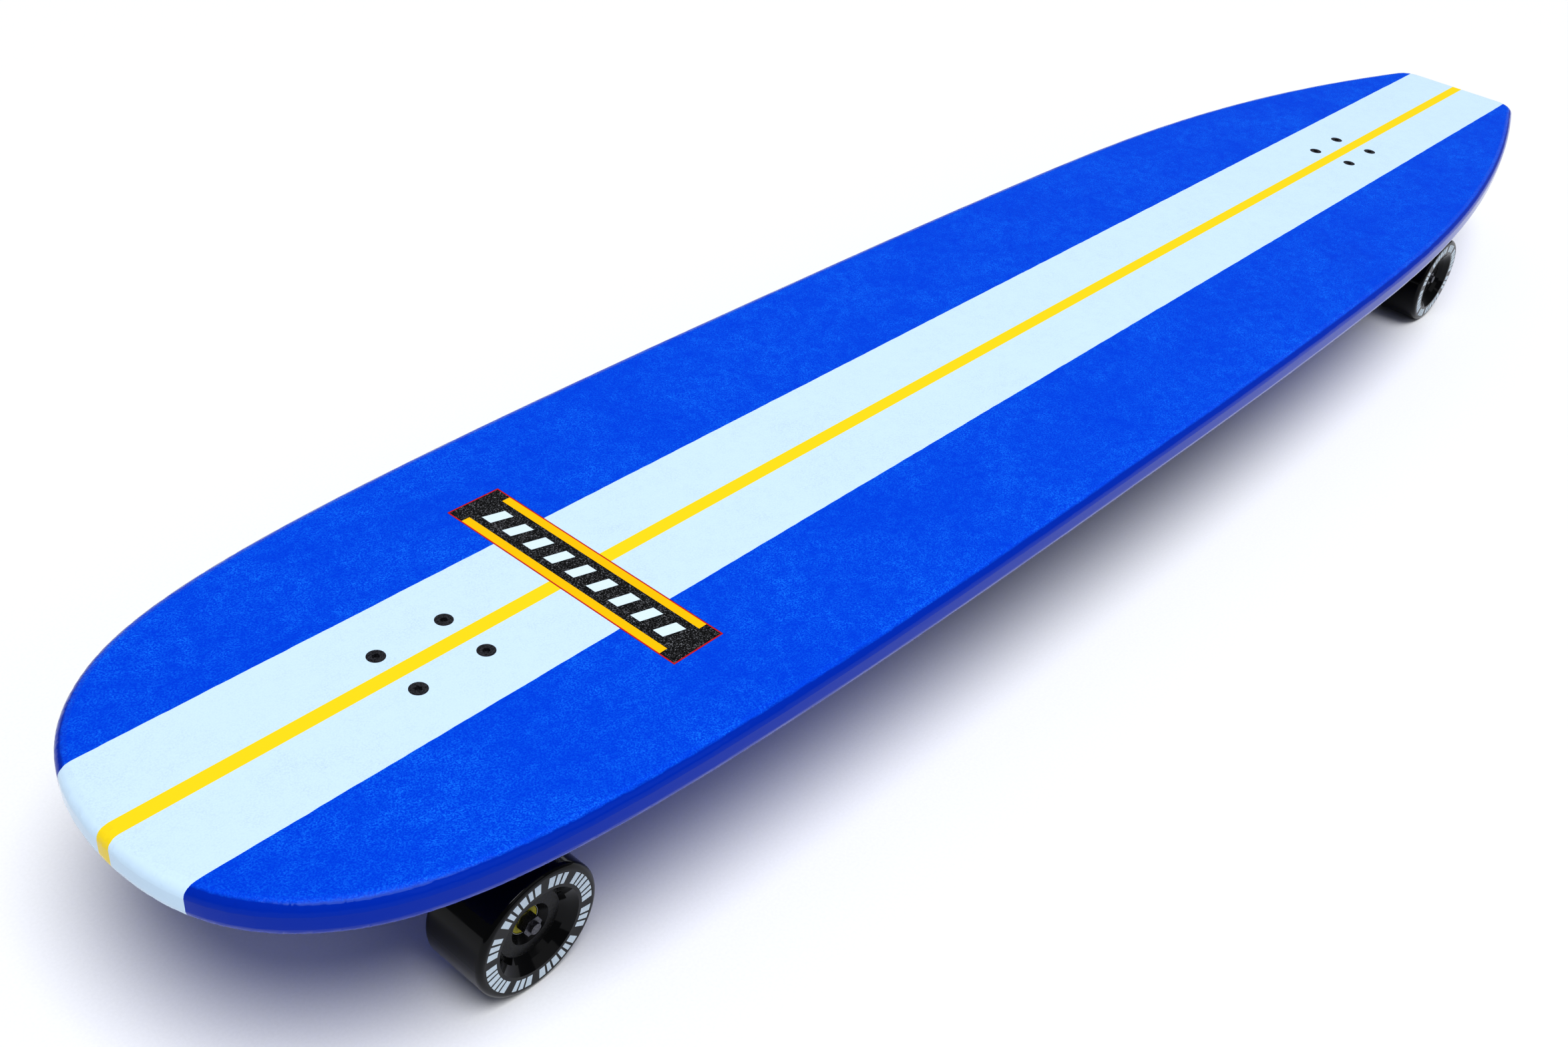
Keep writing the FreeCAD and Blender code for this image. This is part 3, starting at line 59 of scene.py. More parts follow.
def addNode(tree, kind, settings=None, inputs=None, links=None):
    node = tree.nodes.new(kind)
    for name, setting in (settings or {}).items():
        setattr(node, name, setting)
    for name, given in (inputs or {}).items():
        node.inputs[name].default_value = given
    for name, source in (links or {}).items():
        tree.links.new(source, node.inputs[name])
    return node


def newMaterial(name, settings):
    # a Principled shader with its even values on its own sockets
    material = bpy.data.materials.new(name)
    material.use_nodes = True
    tree = material.node_tree
    shader = tree.nodes["Principled BSDF"]
    for socket, given in settings.items():
        shader.inputs[socket].default_value = given
    return material, tree, shader


def grainBump(tree, shader, grain, strength, height, detail=3.0, stretch=None):
    # noise in the object's own metres, so a grain keeps its real size; stretch combs it into lines
    place = addNode(tree, "ShaderNodeTexCoord").outputs["Object"]
    if stretch:
        combed = addNode(tree, "ShaderNodeMapping", inputs={"Scale": stretch}, links={"Vector": place})
        place = combed.outputs["Vector"]
    noise = addNode(tree, "ShaderNodeTexNoise", inputs={"Scale": 1 / grain, "Detail": detail},
                    links={"Vector": place})
    bump = addNode(tree, "ShaderNodeBump", inputs={"Strength": strength, "Distance": height},
                   links={"Height": noise.outputs["Fac"]})
    tree.links.new(bump.outputs["Normal"], shader.inputs["Normal"])
    return noise


def mottle(tree, shader, noise, rough, dark=None, light=None):
    # the same noise wears the shine unevenly and, between two shades, the colour
    low, high = noiseSwing["rough"]
    worn = addNode(tree, "ShaderNodeMapRange",
                   inputs={"From Min": low, "From Max": high, "To Min": rough[0], "To Max": rough[1]},
                   links={"Value": noise.outputs["Fac"]})
    tree.links.new(worn.outputs["Result"], shader.inputs["Roughness"])
    if dark:
        low, high = noiseSwing["colour"]
        share = addNode(tree, "ShaderNodeMapRange", inputs={"From Min": low, "From Max": high},
                        links={"Value": noise.outputs["Fac"]})
        shade = addNode(tree, "ShaderNodeMix", {"data_type": "RGBA"},
                        {"A": linear(dark), "B": linear(light)}, {"Factor": share.outputs["Result"]})
        tree.links.new(shade.outputs["Result"], shader.inputs["Base Color"])


def layInks(tree, ground, layers):
    # flat inks over a ground colour, each where its mask is 1
    for mask, ink in layers:
        over = addNode(tree, "ShaderNodeMix", {"data_type": "RGBA"}, {"B": linear(ink)},
                       {"Factor": mask, "A": ground})
        ground = over.outputs["Result"]
    return ground


def paint(nodeName, material):
    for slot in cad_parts[nodeName].material_slots:
        slot.material = material


def addPiece(name, mesh, body, material, replaces=()):
    piece = bpy.data.objects.new(name, mesh)
    bpy.context.scene.collection.objects.link(piece)
    mesh.materials.append(material)
    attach(piece, body)
    if replaces:
        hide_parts(*replaces)


def smoothByAngle(mesh, degrees):
    for face in mesh.polygons:
        face.use_smooth = True
    mesh.update()
    bm = bmesh.new()
    bm.from_mesh(mesh)
    limit = math.radians(degrees)
    for edge in bm.edges:
        if len(edge.link_faces) == 2 and edge.calc_face_angle(0) > limit:
            edge.smooth = False
    bm.to_mesh(mesh)
    bm.free()


def finishMesh(bm, name, degrees=35):
    bmesh.ops.recalc_face_normals(bm, faces=bm.faces)
    mesh = bpy.data.meshes.new(name)
    bm.to_mesh(mesh)
    bm.free()
    smoothByAngle(mesh, degrees)
    return mesh


def latheInto(bm, profile, place, segments):
    # profile is a closed loop of (radius, height); place carries it from local Z to the frame
    rings = []
    for k in range(segments):
        turn = 2 * math.pi * k / segments
        rings.append([bm.verts.new(place @ Vector((r * math.cos(turn), r * math.sin(turn), h)))
                      for r, h in profile])
    for k in range(segments):
        now, after = rings[k], rings[(k + 1) % segments]
        for i in range(len(profile)):
            j = (i + 1) % len(profile)
            bm.faces.new((now[i], after[i], after[j], now[j]))


def roundedLoop(corners, radius, steps):
    # rounds the corners of a closed (radius, height) loop
    out = []
    count = len(corners)
    for i in range(count):
        a, b, c = (Vector(corners[(i + k) % count]) for k in (-1, 0, 1))
        toA, toC = (a - b), (c - b)
        reach = min(radius, 0.45 * toA.length, 0.45 * toC.length)
        start, end = b + toA.normalized() * reach, b + toC.normalized() * reach
        for k in range(steps + 1):
            t = k / steps
            out.append(tuple(start * (1 - t) ** 2 + b * 2 * t * (1 - t) + end * t * t))
    return out


deckLook = {
    # the darker rail blue is the top's blue with painted shade, laid on the rail and the underside
    "blue": "#0044D8", "blueFleck": "#1E80FA", "railBlueInPaintedShade": "#0230A8",
    "band": "#CFE7FB", "bandFleck": "#C2D8EC", "yellow": "#F6D824",
    "bandHalf": 61.7 * mm, "stripeHalf": 5.7 * mm,
    "maskRipple": 14 * mm, "maskWander": 0.5 * mm,
    "gritGrain": 1.1 * mm,  # real clear grit is about 0.5 mm; drawn twice as coarse so that it shows
    "gritHeight": 0.25 * mm, "bandGrit": 0.35, "fleckSwing": (0.42, 0.68),
    "cloud": 9 * mm, "cloudShare": (0.3, 1.0),
    "drift": 75 * mm, "driftShare": (0.55, 1.15),
    "gritEnds": (0.84, 0.94), "flatEnds": (0.97, 0.998), "underside": -0.8,  # upward part of the normal
    "orangePeel": 7 * mm, "peelHeight": 0.3 * mm, "peelStrength": 0.12,
    "lacquerShine": 0.16, "gritShine": 0.05, "lacquerRough": 0.1, "gritRough": 0.48,
    "shineTint": "#A6CCFF",  # keeps the reflected floor from turning the blue rail purple
}


def stripeMasks(tree, place, across, look):
    # band and stripe by distance from the centre line; the masked edge of the band ripples a little
    ripple = addNode(tree, "ShaderNodeTexNoise", inputs={"Scale": 1 / look["maskRipple"], "Detail": 2.0},
                     links={"Vector": place})
    shift = addNode(tree, "ShaderNodeMath", {"operation": "MULTIPLY_ADD"},
                    {1: 2 * look["maskWander"], 2: -look["maskWander"]}, {0: ripple.outputs["Fac"]})
    away = addNode(tree, "ShaderNodeMath", {"operation": "ABSOLUTE"}, links={0: across})
    edge = addNode(tree, "ShaderNodeMath", {"operation": "ADD"},
                   links={0: away.outputs[0], 1: shift.outputs[0]})
    inBand = addNode(tree, "ShaderNodeMath", {"operation": "LESS_THAN"}, {1: look["bandHalf"]},
                     {0: edge.outputs[0]})
    inStripe = addNode(tree, "ShaderNodeMath", {"operation": "LESS_THAN"}, {1: look["stripeHalf"]},
                       {0: away.outputs[0]})
    return inBand.outputs[0], inStripe.outputs[0]


def gritFlecks(tree, place, grit, onTop, look):
    # pale flecks where a grain stands up, thinned in small clouds and in drifts a hand wide
    low, high = look["fleckSwing"]
    fleck = addNode(tree, "ShaderNodeMapRange", inputs={"From Min": low, "From Max": high},
                    links={"Value": grit.outputs["Fac"]})
    cloud = addNode(tree, "ShaderNodeTexNoise", inputs={"Scale": 1 / look["cloud"], "Detail": 3.0},
                    links={"Vector": place})
    low, high = look["cloudShare"]
    cloudy = addNode(tree, "ShaderNodeMapRange",
                     inputs={"From Min": 0.3, "From Max": 0.7, "To Min": low, "To Max": high},
                     links={"Value": cloud.outputs["Fac"]})
    drift = addNode(tree, "ShaderNodeTexNoise",
                    inputs={"Scale": 1 / look["drift"], "Detail": 4.0, "Roughness": 0.6},
                    links={"Vector": place})
    low, high = look["driftShare"]
    drifted = addNode(tree, "ShaderNodeMapRange",
                      inputs={"From Min": 0.35, "From Max": 0.65, "To Min": low, "To Max": high},
                      links={"Value": drift.outputs["Fac"]})
    share = fleck.outputs["Result"]
    for part in (onTop, cloudy.outputs["Result"], drifted.outputs["Result"]):
        times = addNode(tree, "ShaderNodeMath", {"operation": "MULTIPLY"}, links={0: share, 1: part})
        share = times.outputs[0]
    return share


def lacquerUnderClearGrit(look):
    # sprayed lacquer: saturated, glossy on the rail; the top carries clear grit that sparkles; the rail and
    # the underside are laid in a darker blue as painted shade
    material, tree, shader = newMaterial("SprayedLacquerWithClearGrit", {
        "Metallic": 0.0, "IOR": 1.5, "Specular Tint": linear(look["shineTint"])})
    place = addNode(tree, "ShaderNodeTexCoord").outputs["Object"]
    split = addNode(tree, "ShaderNodeSeparateXYZ", links={"Vector": place})
    inBand, inStripe = stripeMasks(tree, place, split.outputs["Y"], look)

    # the grit runs out part way round the rail's top edge, where it catches a speckled highlight
    normal = addNode(tree, "ShaderNodeNewGeometry").outputs["Normal"]
    up = addNode(tree, "ShaderNodeSeparateXYZ", links={"Vector": normal}).outputs["Z"]
    tops = []
    for low, high in (look["gritEnds"], look["flatEnds"]):
        top = addNode(tree, "ShaderNodeMapRange", inputs={"From Min": low, "From Max": high},
                      links={"Value": up})
        tops.append(top.outputs["Result"])
    onTop, flat = tops
    below = addNode(tree, "ShaderNodeMath", {"operation": "LESS_THAN"}, {1: look["underside"]}, {0: up})

    grit = addNode(tree, "ShaderNodeTexNoise",
                   inputs={"Scale": 1 / look["gritGrain"], "Detail": 4.0, "Roughness": 0.6},
                   links={"Vector": place})
    flecks = gritFlecks(tree, place, grit, onTop, look)
    # painted shade: the sideways-facing rail gets a darker blue than the upward top
    ground = addNode(tree, "ShaderNodeMix", {"data_type": "RGBA"},
                     {"A": linear(look["railBlueInPaintedShade"]), "B": linear(look["blue"])}, {"Factor": onTop})
    blue = layInks(tree, ground.outputs["Result"], [(flecks, look["blueFleck"])])
    band = addNode(tree, "ShaderNodeMix", {"data_type": "RGBA"},
                   {"A": linear(look["band"]), "B": linear(look["bandFleck"])}, {"Factor": flecks})
    banded = addNode(tree, "ShaderNodeMix", {"data_type": "RGBA"},
                     links={"Factor": inBand, "A": blue, "B": band.outputs["Result"]})
    # the downward underside takes the same darker blue, also painted shade
    colour = layInks(tree, banded.outputs["Result"],
                     [(inStripe, look["yellow"]), (below.outputs[0], look["railBlueInPaintedShade"])])
    tree.links.new(colour, shader.inputs["Base Color"])

    # gloss on the rail, dull where the grit lies
    for socket, onRail, onGrit in (("Specular IOR Level", "lacquerShine", "gritShine"),
                                   ("Roughness", "lacquerRough", "gritRough")):
        skin = addNode(tree, "ShaderNodeMapRange", inputs={"To Min": look[onRail], "To Max": look[onGrit]},
                       links={"Value": flat})
        tree.links.new(skin.outputs["Result"], shader.inputs[socket])

    # orange peel all round, then grit on top, fainter on the pale band
    peel = addNode(tree, "ShaderNodeTexNoise", inputs={"Scale": 1 / look["orangePeel"], "Detail": 1.0},
                   links={"Vector": place})
    peelBump = addNode(tree, "ShaderNodeBump",
                       inputs={"Distance": look["peelHeight"], "Strength": look["peelStrength"]},
                       links={"Height": peel.outputs["Fac"]})
    quiet = addNode(tree, "ShaderNodeMapRange", inputs={"To Min": 1.0, "To Max": look["bandGrit"]},
                    links={"Value": inBand})
    strength = addNode(tree, "ShaderNodeMath", {"operation": "MULTIPLY"},
                       links={0: onTop, 1: quiet.outputs["Result"]})
    bump = addNode(tree, "ShaderNodeBump", inputs={"Distance": look["gritHeight"]},
                   links={"Height": grit.outputs["Fac"], "Strength": strength.outputs[0],
                          "Normal": peelBump.outputs["Normal"]})
    tree.links.new(bump.outputs["Normal"], shader.inputs["Normal"])
    return material


paint("deck", lacquerUnderClearGrit(deckLook))
print("deck painted")


panelLook = {
    "black": "#0B0B0C", "blackFleck": "#9A9CA2", "yellow": "#FFC400", "red": "#C8202A", "bar": "#DCEEF7",
    "edgeWide": 8.0 * mm, "edgeInset": 14 * mm, "redWide": 1.0 * mm,
    "gritGrain": 0.9 * mm,  # drawn coarser than real grit so that it shows
    "gritHeight": 0.3 * mm, "gritStrength": 0.8, "fleckSwing": (0.54, 0.74),
    "barCount": 9, "rowInset": 16 * mm, "barInset": 18 * mm,
    "barHalfLong": 8.5 * mm, "barHalfWide": 4.6 * mm, "barLean": 0.28,
}


def gritPrintedPanel(look):
    # printed polyester sheet under black grit: sparkling grains over flat inks
    low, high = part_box("nose_panel")
    centre = (low + high) / 2
    halfX, halfY = (high.x - low.x) / 2, (high.y - low.y) / 2
    material, tree, shader = newMaterial("PrintedGripPanel", {
        "Metallic": 0.0, "IOR": 1.5, "Roughness": 0.55, "Specular IOR Level": 0.15})
    place = addNode(tree, "ShaderNodeTexCoord").outputs["Object"]
    split = addNode(tree, "ShaderNodeSeparateXYZ", links={"Vector": place})
    fromX = addNode(tree, "ShaderNodeMath", {"operation": "SUBTRACT"}, {1: centre.x}, {0: split.outputs["X"]})
    awayX = addNode(tree, "ShaderNodeMath", {"operation": "ABSOLUTE"}, links={0: fromX.outputs[0]})
    awayY = addNode(tree, "ShaderNodeMath", {"operation": "ABSOLUTE"}, links={0: split.outputs["Y"]})
    grit = addNode(tree, "ShaderNodeTexNoise",
                   inputs={"Scale": 1 / look["gritGrain"], "Detail": 3.0, "Roughness": 0.65},
                   links={"Vector": place})
    fleck = addNode(tree, "ShaderNodeMapRange",
                    inputs={"From Min": look["fleckSwing"][0], "From Max": look["fleckSwing"][1]},
                    links={"Value": grit.outputs["Fac"]})
    black = addNode(tree, "ShaderNodeMix", {"data_type": "RGBA"},
                    {"A": linear(look["black"]), "B": linear(look["blackFleck"])},
                    {"Factor": fleck.outputs["Result"]})

    # plain leaning bars repeat across the row
    pitch = 2 * (halfY - look["rowInset"]) / look["barCount"]
    lean = addNode(tree, "ShaderNodeMath", {"operation": "MULTIPLY_ADD"}, {1: look["barLean"]},
                   {0: fromX.outputs[0], 2: split.outputs["Y"]})
    saw = addNode(tree, "ShaderNodeMath", {"operation": "PINGPONG"}, {1: pitch / 2}, {0: lean.outputs[0]})

    # each mask is 1 on one side of a limit, and the inks take them in pairs
    limits = {
        "nearLong": ("GREATER_THAN", awayX, halfX - look["edgeWide"]),
        "clearOfEnds": ("LESS_THAN", awayY, halfY - look["edgeInset"]),
        "inBar": ("LESS_THAN", saw, look["barHalfWide"]),
        "inRow": ("LESS_THAN", awayX, look["barHalfLong"]),
        "inSpan": ("LESS_THAN", awayY, halfY - look["barInset"]),
        "rimX": ("GREATER_THAN", awayX, halfX - look["redWide"]),
        "rimY": ("GREATER_THAN", awayY, halfY - look["redWide"]),
    }
    masks = {}
    for name, (operation, source, limit) in limits.items():
        side = addNode(tree, "ShaderNodeMath", {"operation": operation}, {1: limit}, {0: source.outputs[0]})
        masks[name] = side.outputs[0]
    for name, operation, first, second in (("edgeBar", "MULTIPLY", "nearLong", "clearOfEnds"),
                                           ("rowSpan", "MULTIPLY", "inRow", "inSpan"),
                                           ("leaningBar", "MULTIPLY", "inBar", "rowSpan"),
                                           ("rim", "MAXIMUM", "rimX", "rimY")):
        pair = addNode(tree, "ShaderNodeMath", {"operation": operation},
                       links={0: masks[first], 1: masks[second]})
        masks[name] = pair.outputs[0]
    printed = layInks(tree, black.outputs["Result"], [
        (masks["edgeBar"], look["yellow"]), (masks["leaningBar"], look["bar"]), (masks["rim"], look["red"])])
    tree.links.new(printed, shader.inputs["Base Color"])
    bump = addNode(tree, "ShaderNodeBump",
                   inputs={"Distance": look["gritHeight"], "Strength": look["gritStrength"]},
                   links={"Height": grit.outputs["Fac"]})
    tree.links.new(bump.outputs["Normal"], shader.inputs["Normal"])
    return material


paint("nose_panel", gritPrintedPanel(panelLook))
print("grip panel painted")


def metal(name, dark, light, grain, rough, bump=0.08, stretch=None):
    material, tree, shader = newMaterial(name, {"Metallic": 1.0})
    noise = grainBump(tree, shader, grain, bump, 0.05 * mm, stretch=stretch)
    mottle(tree, shader, noise, rough, dark, light)
    return material


def plastic(name, dark, light, grain, rough, bump=0.2, shine=0.3):
    material, tree, shader = newMaterial(name, {"Metallic": 0.0, "IOR": 1.5, "Specular IOR Level": shine})
    noise = grainBump(tree, shader, grain, bump, 0.08 * mm)
    mottle(tree, shader, noise, rough, dark, light)
    return material


# black oxide steel: near black, oily sheen with worn paler grains
blackOxideSteel = metal("BlackOxideSteel", "#3C3C40", "#6A6A70", 0.9 * mm, (0.38, 0.52))
# bright zinc plate: pale, slightly cloudy
zincPlatedSteel = metal("ZincPlatedSteel", "#A7A9AD", "#C9CBCE", 0.9 * mm, (0.22, 0.38))
# blasted cast aluminium: even grey with a sandy skin
blastedCastAluminium = metal("BlastedCastAluminium", "#6F7276", "#8D9094", 0.8 * mm, (0.42, 0.6), bump=0.6)
# black anodised plate: satin, with fine machining grain
anodisedPlate = metal("BlackAnodisedPlate", "#17181A", "#26272A", 0.5 * mm, (0.3, 0.42), stretch=(1, 1, 12))
# natural anodised pulley: satin silver
anodisedPulley = metal("ClearAnodisedPulley", "#9A9DA2", "#B7BABF", 0.5 * mm, (0.25, 0.38))
# ground bearing steel: the smoothest metal here, with crisp reflections
groundSteel = metal("GroundBearingSteel", "#7E7F80", "#A2A2A0", 0.4 * mm, (0.16, 0.28), bump=0.05)
# enamelled copper wire: warm and combed across the stator
copperWindings = metal("EnamelledCopper", "#8A4A22", "#B5652F", 0.6 * mm, (0.25, 0.4), stretch=(1, 14, 1))
# extruded heat sink: dull grey, drawn out along its length
extrudedHeatSink = metal("ExtrudedHeatSink", "#55585C", "#6D7075", 0.5 * mm, (0.35, 0.5), stretch=(12, 1, 1))
# brushed steel button: pale, with fine upright lines
brushedSteel = metal("BrushedSteelButton", "#A9ABAE", "#C8CACC", 0.4 * mm, (0.22, 0.36), stretch=(1, 1, 10))
# cast urethane bushing: amber, waxy
bushingUrethane = plastic("CastBushingUrethane", "#B9540E", "#C9641A", 2.0 * mm, (0.3, 0.42))
# moulded black urethane: soft sheen on the pivot cups and the charge cap
cupUrethane = plastic("MouldedBlackUrethane", "#101011", "#1A1A1C", 1.2 * mm, (0.4, 0.55))
# moulded rubber riser: dull and slightly chalky
riserRubber = plastic("MouldedRiserRubber", "#141415", "#202022", 0.8 * mm, (0.55, 0.75), bump=0.4)
# neoprene belt: dull black with a fabric-fine tooth
beltRubber = plastic("NeopreneBelt", "#121213", "#1D1D1F", 0.5 * mm, (0.5, 0.7), bump=0.5)
# spark-textured ABS: a fine even pebble that scatters the light
texturedAbs = plastic("TexturedMouldedAbs", "#131416", "#1E1F22", 0.7 * mm, (0.42, 0.6), bump=0.6)
# gloss moulded nylon: deep black with soft clear reflections
glossNylon = plastic("MouldedGlossNylon", "#070708", "#0D0D0E", 1.5 * mm, (0.18, 0.3), shine=0.16)
# closed-cell foam gasket: flat, with visible cells
closedCellFoam = plastic("ClosedCellFoam", "#1B1B1C", "#2A2A2C", 0.6 * mm, (0.8, 0.95), bump=0.9)
# powder-coated can: black with a fine orange peel
powderCoat = plastic("PowderCoatedCan", "#101113", "#1C1D20", 0.5 * mm, (0.3, 0.45), bump=0.5)
# heat-shrunk sleeve: smooth mid blue over the battery pack
shrinkWrap = plastic("BlueShrinkWrap", "#123C7A", "#184A92", 6.0 * mm, (0.2, 0.35))

hardwareLook = {
    "riser_pads": riserRubber, "deck_bolts": blackOxideSteel, "deck_nuts": zincPlatedSteel,
    "pivot_cups": cupUrethane, "kingpins": zincPlatedSteel, "kingpin_nuts": zincPlatedSteel,
    "bushing_washers": zincPlatedSteel, "case_shell": texturedAbs, "case_gasket": closedCellFoam,
    "case_screws": blackOxideSteel, "battery_pack": shrinkWrap, "motor_controller": extrudedHeatSink,
    "charge_port": glossNylon, "charge_cap": cupUrethane, "power_button": brushedSteel,
    "cable_glands": glossNylon, "motor_screws": blackOxideSteel,
}
for end in ends:
    hardwareLook.update({
        f"{end}_baseplate": blastedCastAluminium, f"{end}_hanger": blastedCastAluminium,
        f"{end}_deck_side_bushing": bushingUrethane, f"{end}_road_side_bushing": bushingUrethane,
        f"{end}_axle": blackOxideSteel, f"{end}_axle_nuts": blackOxideSteel,
        f"{end}_speed_rings": zincPlatedSteel, f"{end}_bearing_spacers": zincPlatedSteel})
for side in sides:
    hardwareLook.update({
        f"{side}_belt": beltRubber, f"{side}_motor_mount": anodisedPlate,
        f"{side}_motor_stator": copperWindings, f"{side}_motor_can": powderCoat,
        f"{side}_motor_pulley": anodisedPulley, f"{side}_wheel_pulley": anodisedPulley})
for nodeName, material in hardwareLook.items():
    paint(nodeName, material)
print("hardware painted:", len(hardwareLook), "nodes")


wheelLook = {
    "black": "#050506", "ink": "#CBD8E2", "inkShade": "#B6C6D2",
    "swirl": 18 * mm, "swirlHeight": 0.3 * mm, "swirlStrength": 0.12,
    "printInner": 35.0 * mm, "printOuter": 43.2 * mm, "printThick": 0.12 * mm, "printSunk": 0.05 * mm,
    "barDegrees": (7, 4.5, 7, 5.5, 4.5, 7, 0, 5.5, 5.5, 7),  # 0 stands for a space
    "barGap": 2.4, "wordGap": 8, "groupTurns": 4, "barSlices": 4,
}


def castUrethane(look):
    # poured urethane: deep black, mirror gloss with faint swirls
    material, tree, shader = newMaterial("PouredWheelUrethane", {
        "Base Color": linear(look["black"]), "IOR": 1.5, "Specular IOR Level": 0.2})
    noise = grainBump(tree, shader, look["swirl"], look["swirlStrength"], look["swirlHeight"], detail=2.0)
    mottle(tree, shader, noise, (0.05, 0.12))
    return material


def padPrintInk(look):
    # pad-printed ink: pale, matt, a little uneven in its cover
    material, tree, shader = newMaterial("PadPrintedInk", {"IOR": 1.45})
    noise = grainBump(tree, shader, 0.8 * mm, 0.3, 0.05 * mm)
    mottle(tree, shader, noise, (0.4, 0.55), look["inkShade"], look["ink"])
    return material


def outwardTurn(side):
    # carries a shape made along Z so that it faces away from the board on its own side
    return Matrix.Rotation(-math.pi / 2 if side == "left" else math.pi / 2, 4, "X")


def addBar(bm, place, half, start, wide, look):
    # one raised bar along an arc of the wheel's face
    inner, outer, thick, sunk = (look[key] for key in ("printInner", "printOuter", "printThick", "printSunk"))
    rows = []
    for k in range(look["barSlices"] + 1):
        turn = math.radians(start + wide * k / look["barSlices"])
        across = Vector((math.cos(turn), math.sin(turn), 0))
        rows.append([bm.verts.new(place @ (across * r + Vector((0, 0, half + h))))
                     for r, h in ((inner, -sunk), (inner, thick), (outer, thick), (outer, -sunk))])
    for now, after in zip(rows, rows[1:]):
        for i in range(4):
            bm.faces.new((now[i], after[i], after[(i + 1) % 4], now[(i + 1) % 4]))
    bm.faces.new(rows[0])
    bm.faces.new(rows[-1])


def addPrintRing(end, side, look, ink):
    # plain bars round the face, a hair proud of it
    low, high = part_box(f"{end}_{side}_tyre")
    place = Matrix.Translation((low + high) / 2) @ outwardTurn(side)
    half = (high.y - low.y) / 2
    bm = bmesh.new()
    for group in range(look["groupTurns"]):
        at = group * 360 / look["groupTurns"]
        for wide in look["barDegrees"]:
            if wide:
                addBar(bm, place, half, at, wide, look)
            at += wide + look["barGap"] if wide else look["wordGap"]
    mesh = finishMesh(bm, f"{end}_{side}_print", 60)
    addPiece(f"{end}_{side}_print_ring", mesh, f"{end}_{side}_wheel", ink)


bearingLook = {
    "outer": 11 * mm, "bore": 4.03 * mm, "wide": 7 * mm,
    "innerRaceOuter": 6.1 * mm, "outerRaceInner": 10.25 * mm, "raceRound": 0.3 * mm,
    "raceGap": 0.03 * mm,  # the inner race stops this short of the speed rings that clamp it
    "sealInner": 6.15 * mm, "sealOuter": 10.2 * mm, "sealSunk": 0.35 * mm, "sealRound": 0.5 * mm,
    "seal": "#B0A71C", "sealShade": "#8F8A18", "segments": 64, "roundSteps": 3,
}


def ringProfile(inner, outer, half, radius, steps):
    corners = [(inner, -half), (outer, -half), (outer, half), (inner, half)]
    return roundedLoop(corners, radius, steps)


def addBearings(end, side, look, steel, seal):
    # two shielded ball bearings: ground races and a coloured seal in each face
    low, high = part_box(f"{end}_{side}_bearings")
    centre = (low + high) / 2
    halfWide = look["wide"] / 2
    reach = (high.y - low.y) / 2 - halfWide
    steps, rounding, segments = look["roundSteps"], look["raceRound"], look["segments"]
    raceProfiles = (
        ringProfile(look["outerRaceInner"], look["outer"], halfWide, rounding, steps),
        ringProfile(look["bore"], look["innerRaceOuter"], halfWide - look["raceGap"], rounding, steps))
    sealProfile = ringProfile(look["sealInner"], look["sealOuter"], halfWide - look["sealSunk"],
                              look["sealRound"], steps)
    outward = 1 if side == "left" else -1
    races, seals = bmesh.new(), bmesh.new()
    for offset in (reach, -reach):
        place = Matrix.Translation(centre + Vector((0, outward * offset, 0))) @ outwardTurn(side)
        for profile in raceProfiles:
            latheInto(races, profile, place, segments)
        latheInto(seals, sealProfile, place, segments)
    node, body = f"{end}_{side}_bearings", f"{end}_{side}_wheel"
    addPiece(f"{end}_{side}_bearing_races", finishMesh(races, f"{node}_races"), body,
             steel, (node,))
    addPiece(f"{end}_{side}_bearing_seals", finishMesh(seals, f"{node}_seals"), body, seal)


wheelUrethane = castUrethane(wheelLook)
printInk = padPrintInk(wheelLook)
# moulded nitrile seal: olive yellow, slightly waxy
bearingSeal = plastic("MouldedBearingSeal", bearingLook["sealShade"], bearingLook["seal"], 1.0 * mm,
                      (0.35, 0.5))
for end in ends:
    for side in sides:
        paint(f"{end}_{side}_tyre", wheelUrethane)
        paint(f"{end}_{side}_core", glossNylon)
        addPrintRing(end, side, wheelLook, printInk)
        addBearings(end, side, bearingLook, groundSteel, bearingSeal)
print("wheels dressed")


# widths in mm of the broken edges that catch the light
edgeLook = {
    "deck_bolts": 0.4, "deck_nuts": 0.3, "front_axle_nuts": 0.35, "rear_axle_nuts": 0.35,
    "kingpin_nuts": 0.5, "kingpins": 0.4, "case_shell": 1.2, "front_hanger": 0.8, "rear_hanger": 0.8,
    "front_baseplate": 0.8, "rear_baseplate": 0.8, "left_motor_mount": 0.5, "right_motor_mount": 0.5,
    "power_button": 0.4, "charge_cap": 0.6, "motor_screws": 0.3, "case_screws": 0.3,
}
edgeBreak = {"segments": 2, "sharperThan": 40}


def softenEdges(nodeName, wide, look):
    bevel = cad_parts[nodeName].modifiers.new("edgeBreak", "BEVEL")
    bevel.width = wide * mm
    bevel.segments = look["segments"]
    bevel.limit_method = "ANGLE"
    bevel.angle_limit = math.radians(look["sharperThan"])
    bevel.harden_normals = False


for nodeName, wide in edgeLook.items():
    softenEdges(nodeName, wide, edgeBreak)
print("edges softened:", len(edgeLook), "nodes")


studioLook = {
    "floor": "#F6F7F9", "floorShade": "#F3F4F6", "floorReach": 14, "floorSquares": 8,
    "room": "#EEF3FA", "roomStrength": 0.22,
    "skyPower": 2.45, "skySpread": 38, "skyTilt": (-16, 8, 0),
    "stripPlace": (0.2, 2.4, 1.5), "stripAim": (0.1, 0.1, 0.1), "stripSize": (2.4, 1.44), "stripPower": 6,
}
cameraLook = {
    "place": (1.224, 0.648, 0.860), "aim": (0.4197, 0.0411, 0.15), "roll": 6.84,
    "lens": 38.47, "sensor": 36.0, "clipStart": 0.01,
}


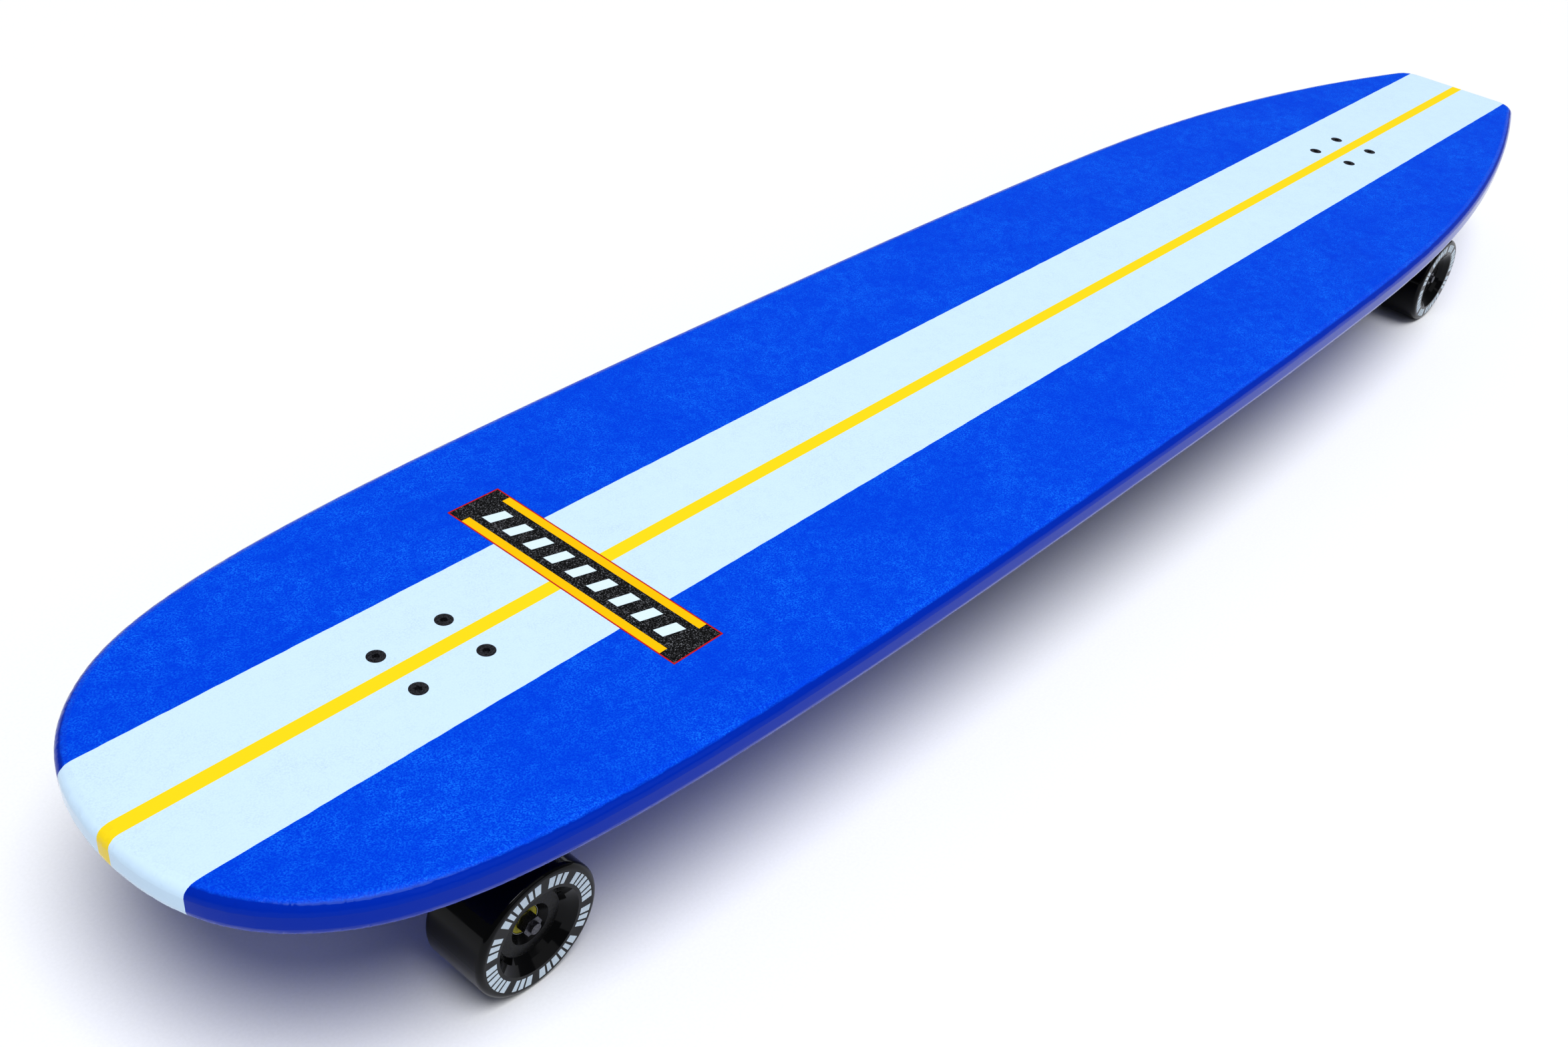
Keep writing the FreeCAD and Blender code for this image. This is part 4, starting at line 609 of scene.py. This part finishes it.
def lookAt(place, aim, rollDegrees=0):
    turn = (Vector(aim) - Vector(place)).to_track_quat("-Z", "Y").to_matrix().to_4x4()
    return Matrix.Translation(place) @ turn @ Matrix.Rotation(math.radians(rollDegrees), 4, "Z")


def addToScene(name, data, world):
    placed = bpy.data.objects.new(name, data)
    placed.matrix_world = world
    bpy.context.scene.collection.objects.link(placed)
    return placed


def makeFloor(look):
    # matt studio paper: pale and even, with the faintest fibre
    bm = bmesh.new()
    squares = look["floorSquares"]
    bmesh.ops.create_grid(bm, x_segments=squares, y_segments=squares, size=look["floorReach"])
    mesh = bpy.data.meshes.new("studio_floor")
    bm.to_mesh(mesh)
    bm.free()
    material, tree, shader = newMaterial("MattStudioPaper", {"IOR": 1.4})
    noise = grainBump(tree, shader, 2 * mm, 0.05, 0.05 * mm)
    mottle(tree, shader, noise, (0.7, 0.85), look["floorShade"], look["floor"])
    mesh.materials.append(material)
    addToScene("studio_floor", mesh, Matrix.Identity(4))


def makeSky(look):
    # one wide soft source from above keeps the whole floor evenly bright
    sky = bpy.data.lights.new("sky", "SUN")
    sky.energy = look["skyPower"]
    sky.angle = math.radians(look["skySpread"])
    skyObject = addToScene("sky", sky, Matrix.Identity(4))
    skyObject.rotation_euler = [math.radians(turn) for turn in look["skyTilt"]]


def makeStrip(look):
    # a long lamp beside the board lays a highlight along the rail
    strip = bpy.data.lights.new("strip", "AREA")
    strip.shape = "RECTANGLE"
    strip.size, strip.size_y = look["stripSize"]
    strip.energy = look["stripPower"]
    addToScene("strip", strip, lookAt(look["stripPlace"], look["stripAim"]))


def makeRoom(look):
    # a faint even room fills the shadows
    world = bpy.data.worlds.new("room")
    bpy.context.scene.world = world
    world.use_nodes = True
    back = world.node_tree.nodes["Background"]
    back.inputs["Color"].default_value = linear(look["room"])
    back.inputs["Strength"].default_value = look["roomStrength"]


def makeCamera(look):
    data = bpy.data.cameras.new("view")
    data.lens = look["lens"]
    data.sensor_width = look["sensor"]
    data.clip_start = look["clipStart"]
    view = addToScene("view", data, lookAt(look["place"], look["aim"], look["roll"]))
    bpy.context.scene.camera = view


makeFloor(studioLook)
makeSky(studioLook)
makeStrip(studioLook)
makeRoom(studioLook)
makeCamera(cameraLook)
bpy.context.scene.view_settings.view_transform = "Standard"
bpy.context.scene.view_settings.look = "Medium High Contrast"
print("studio ready")
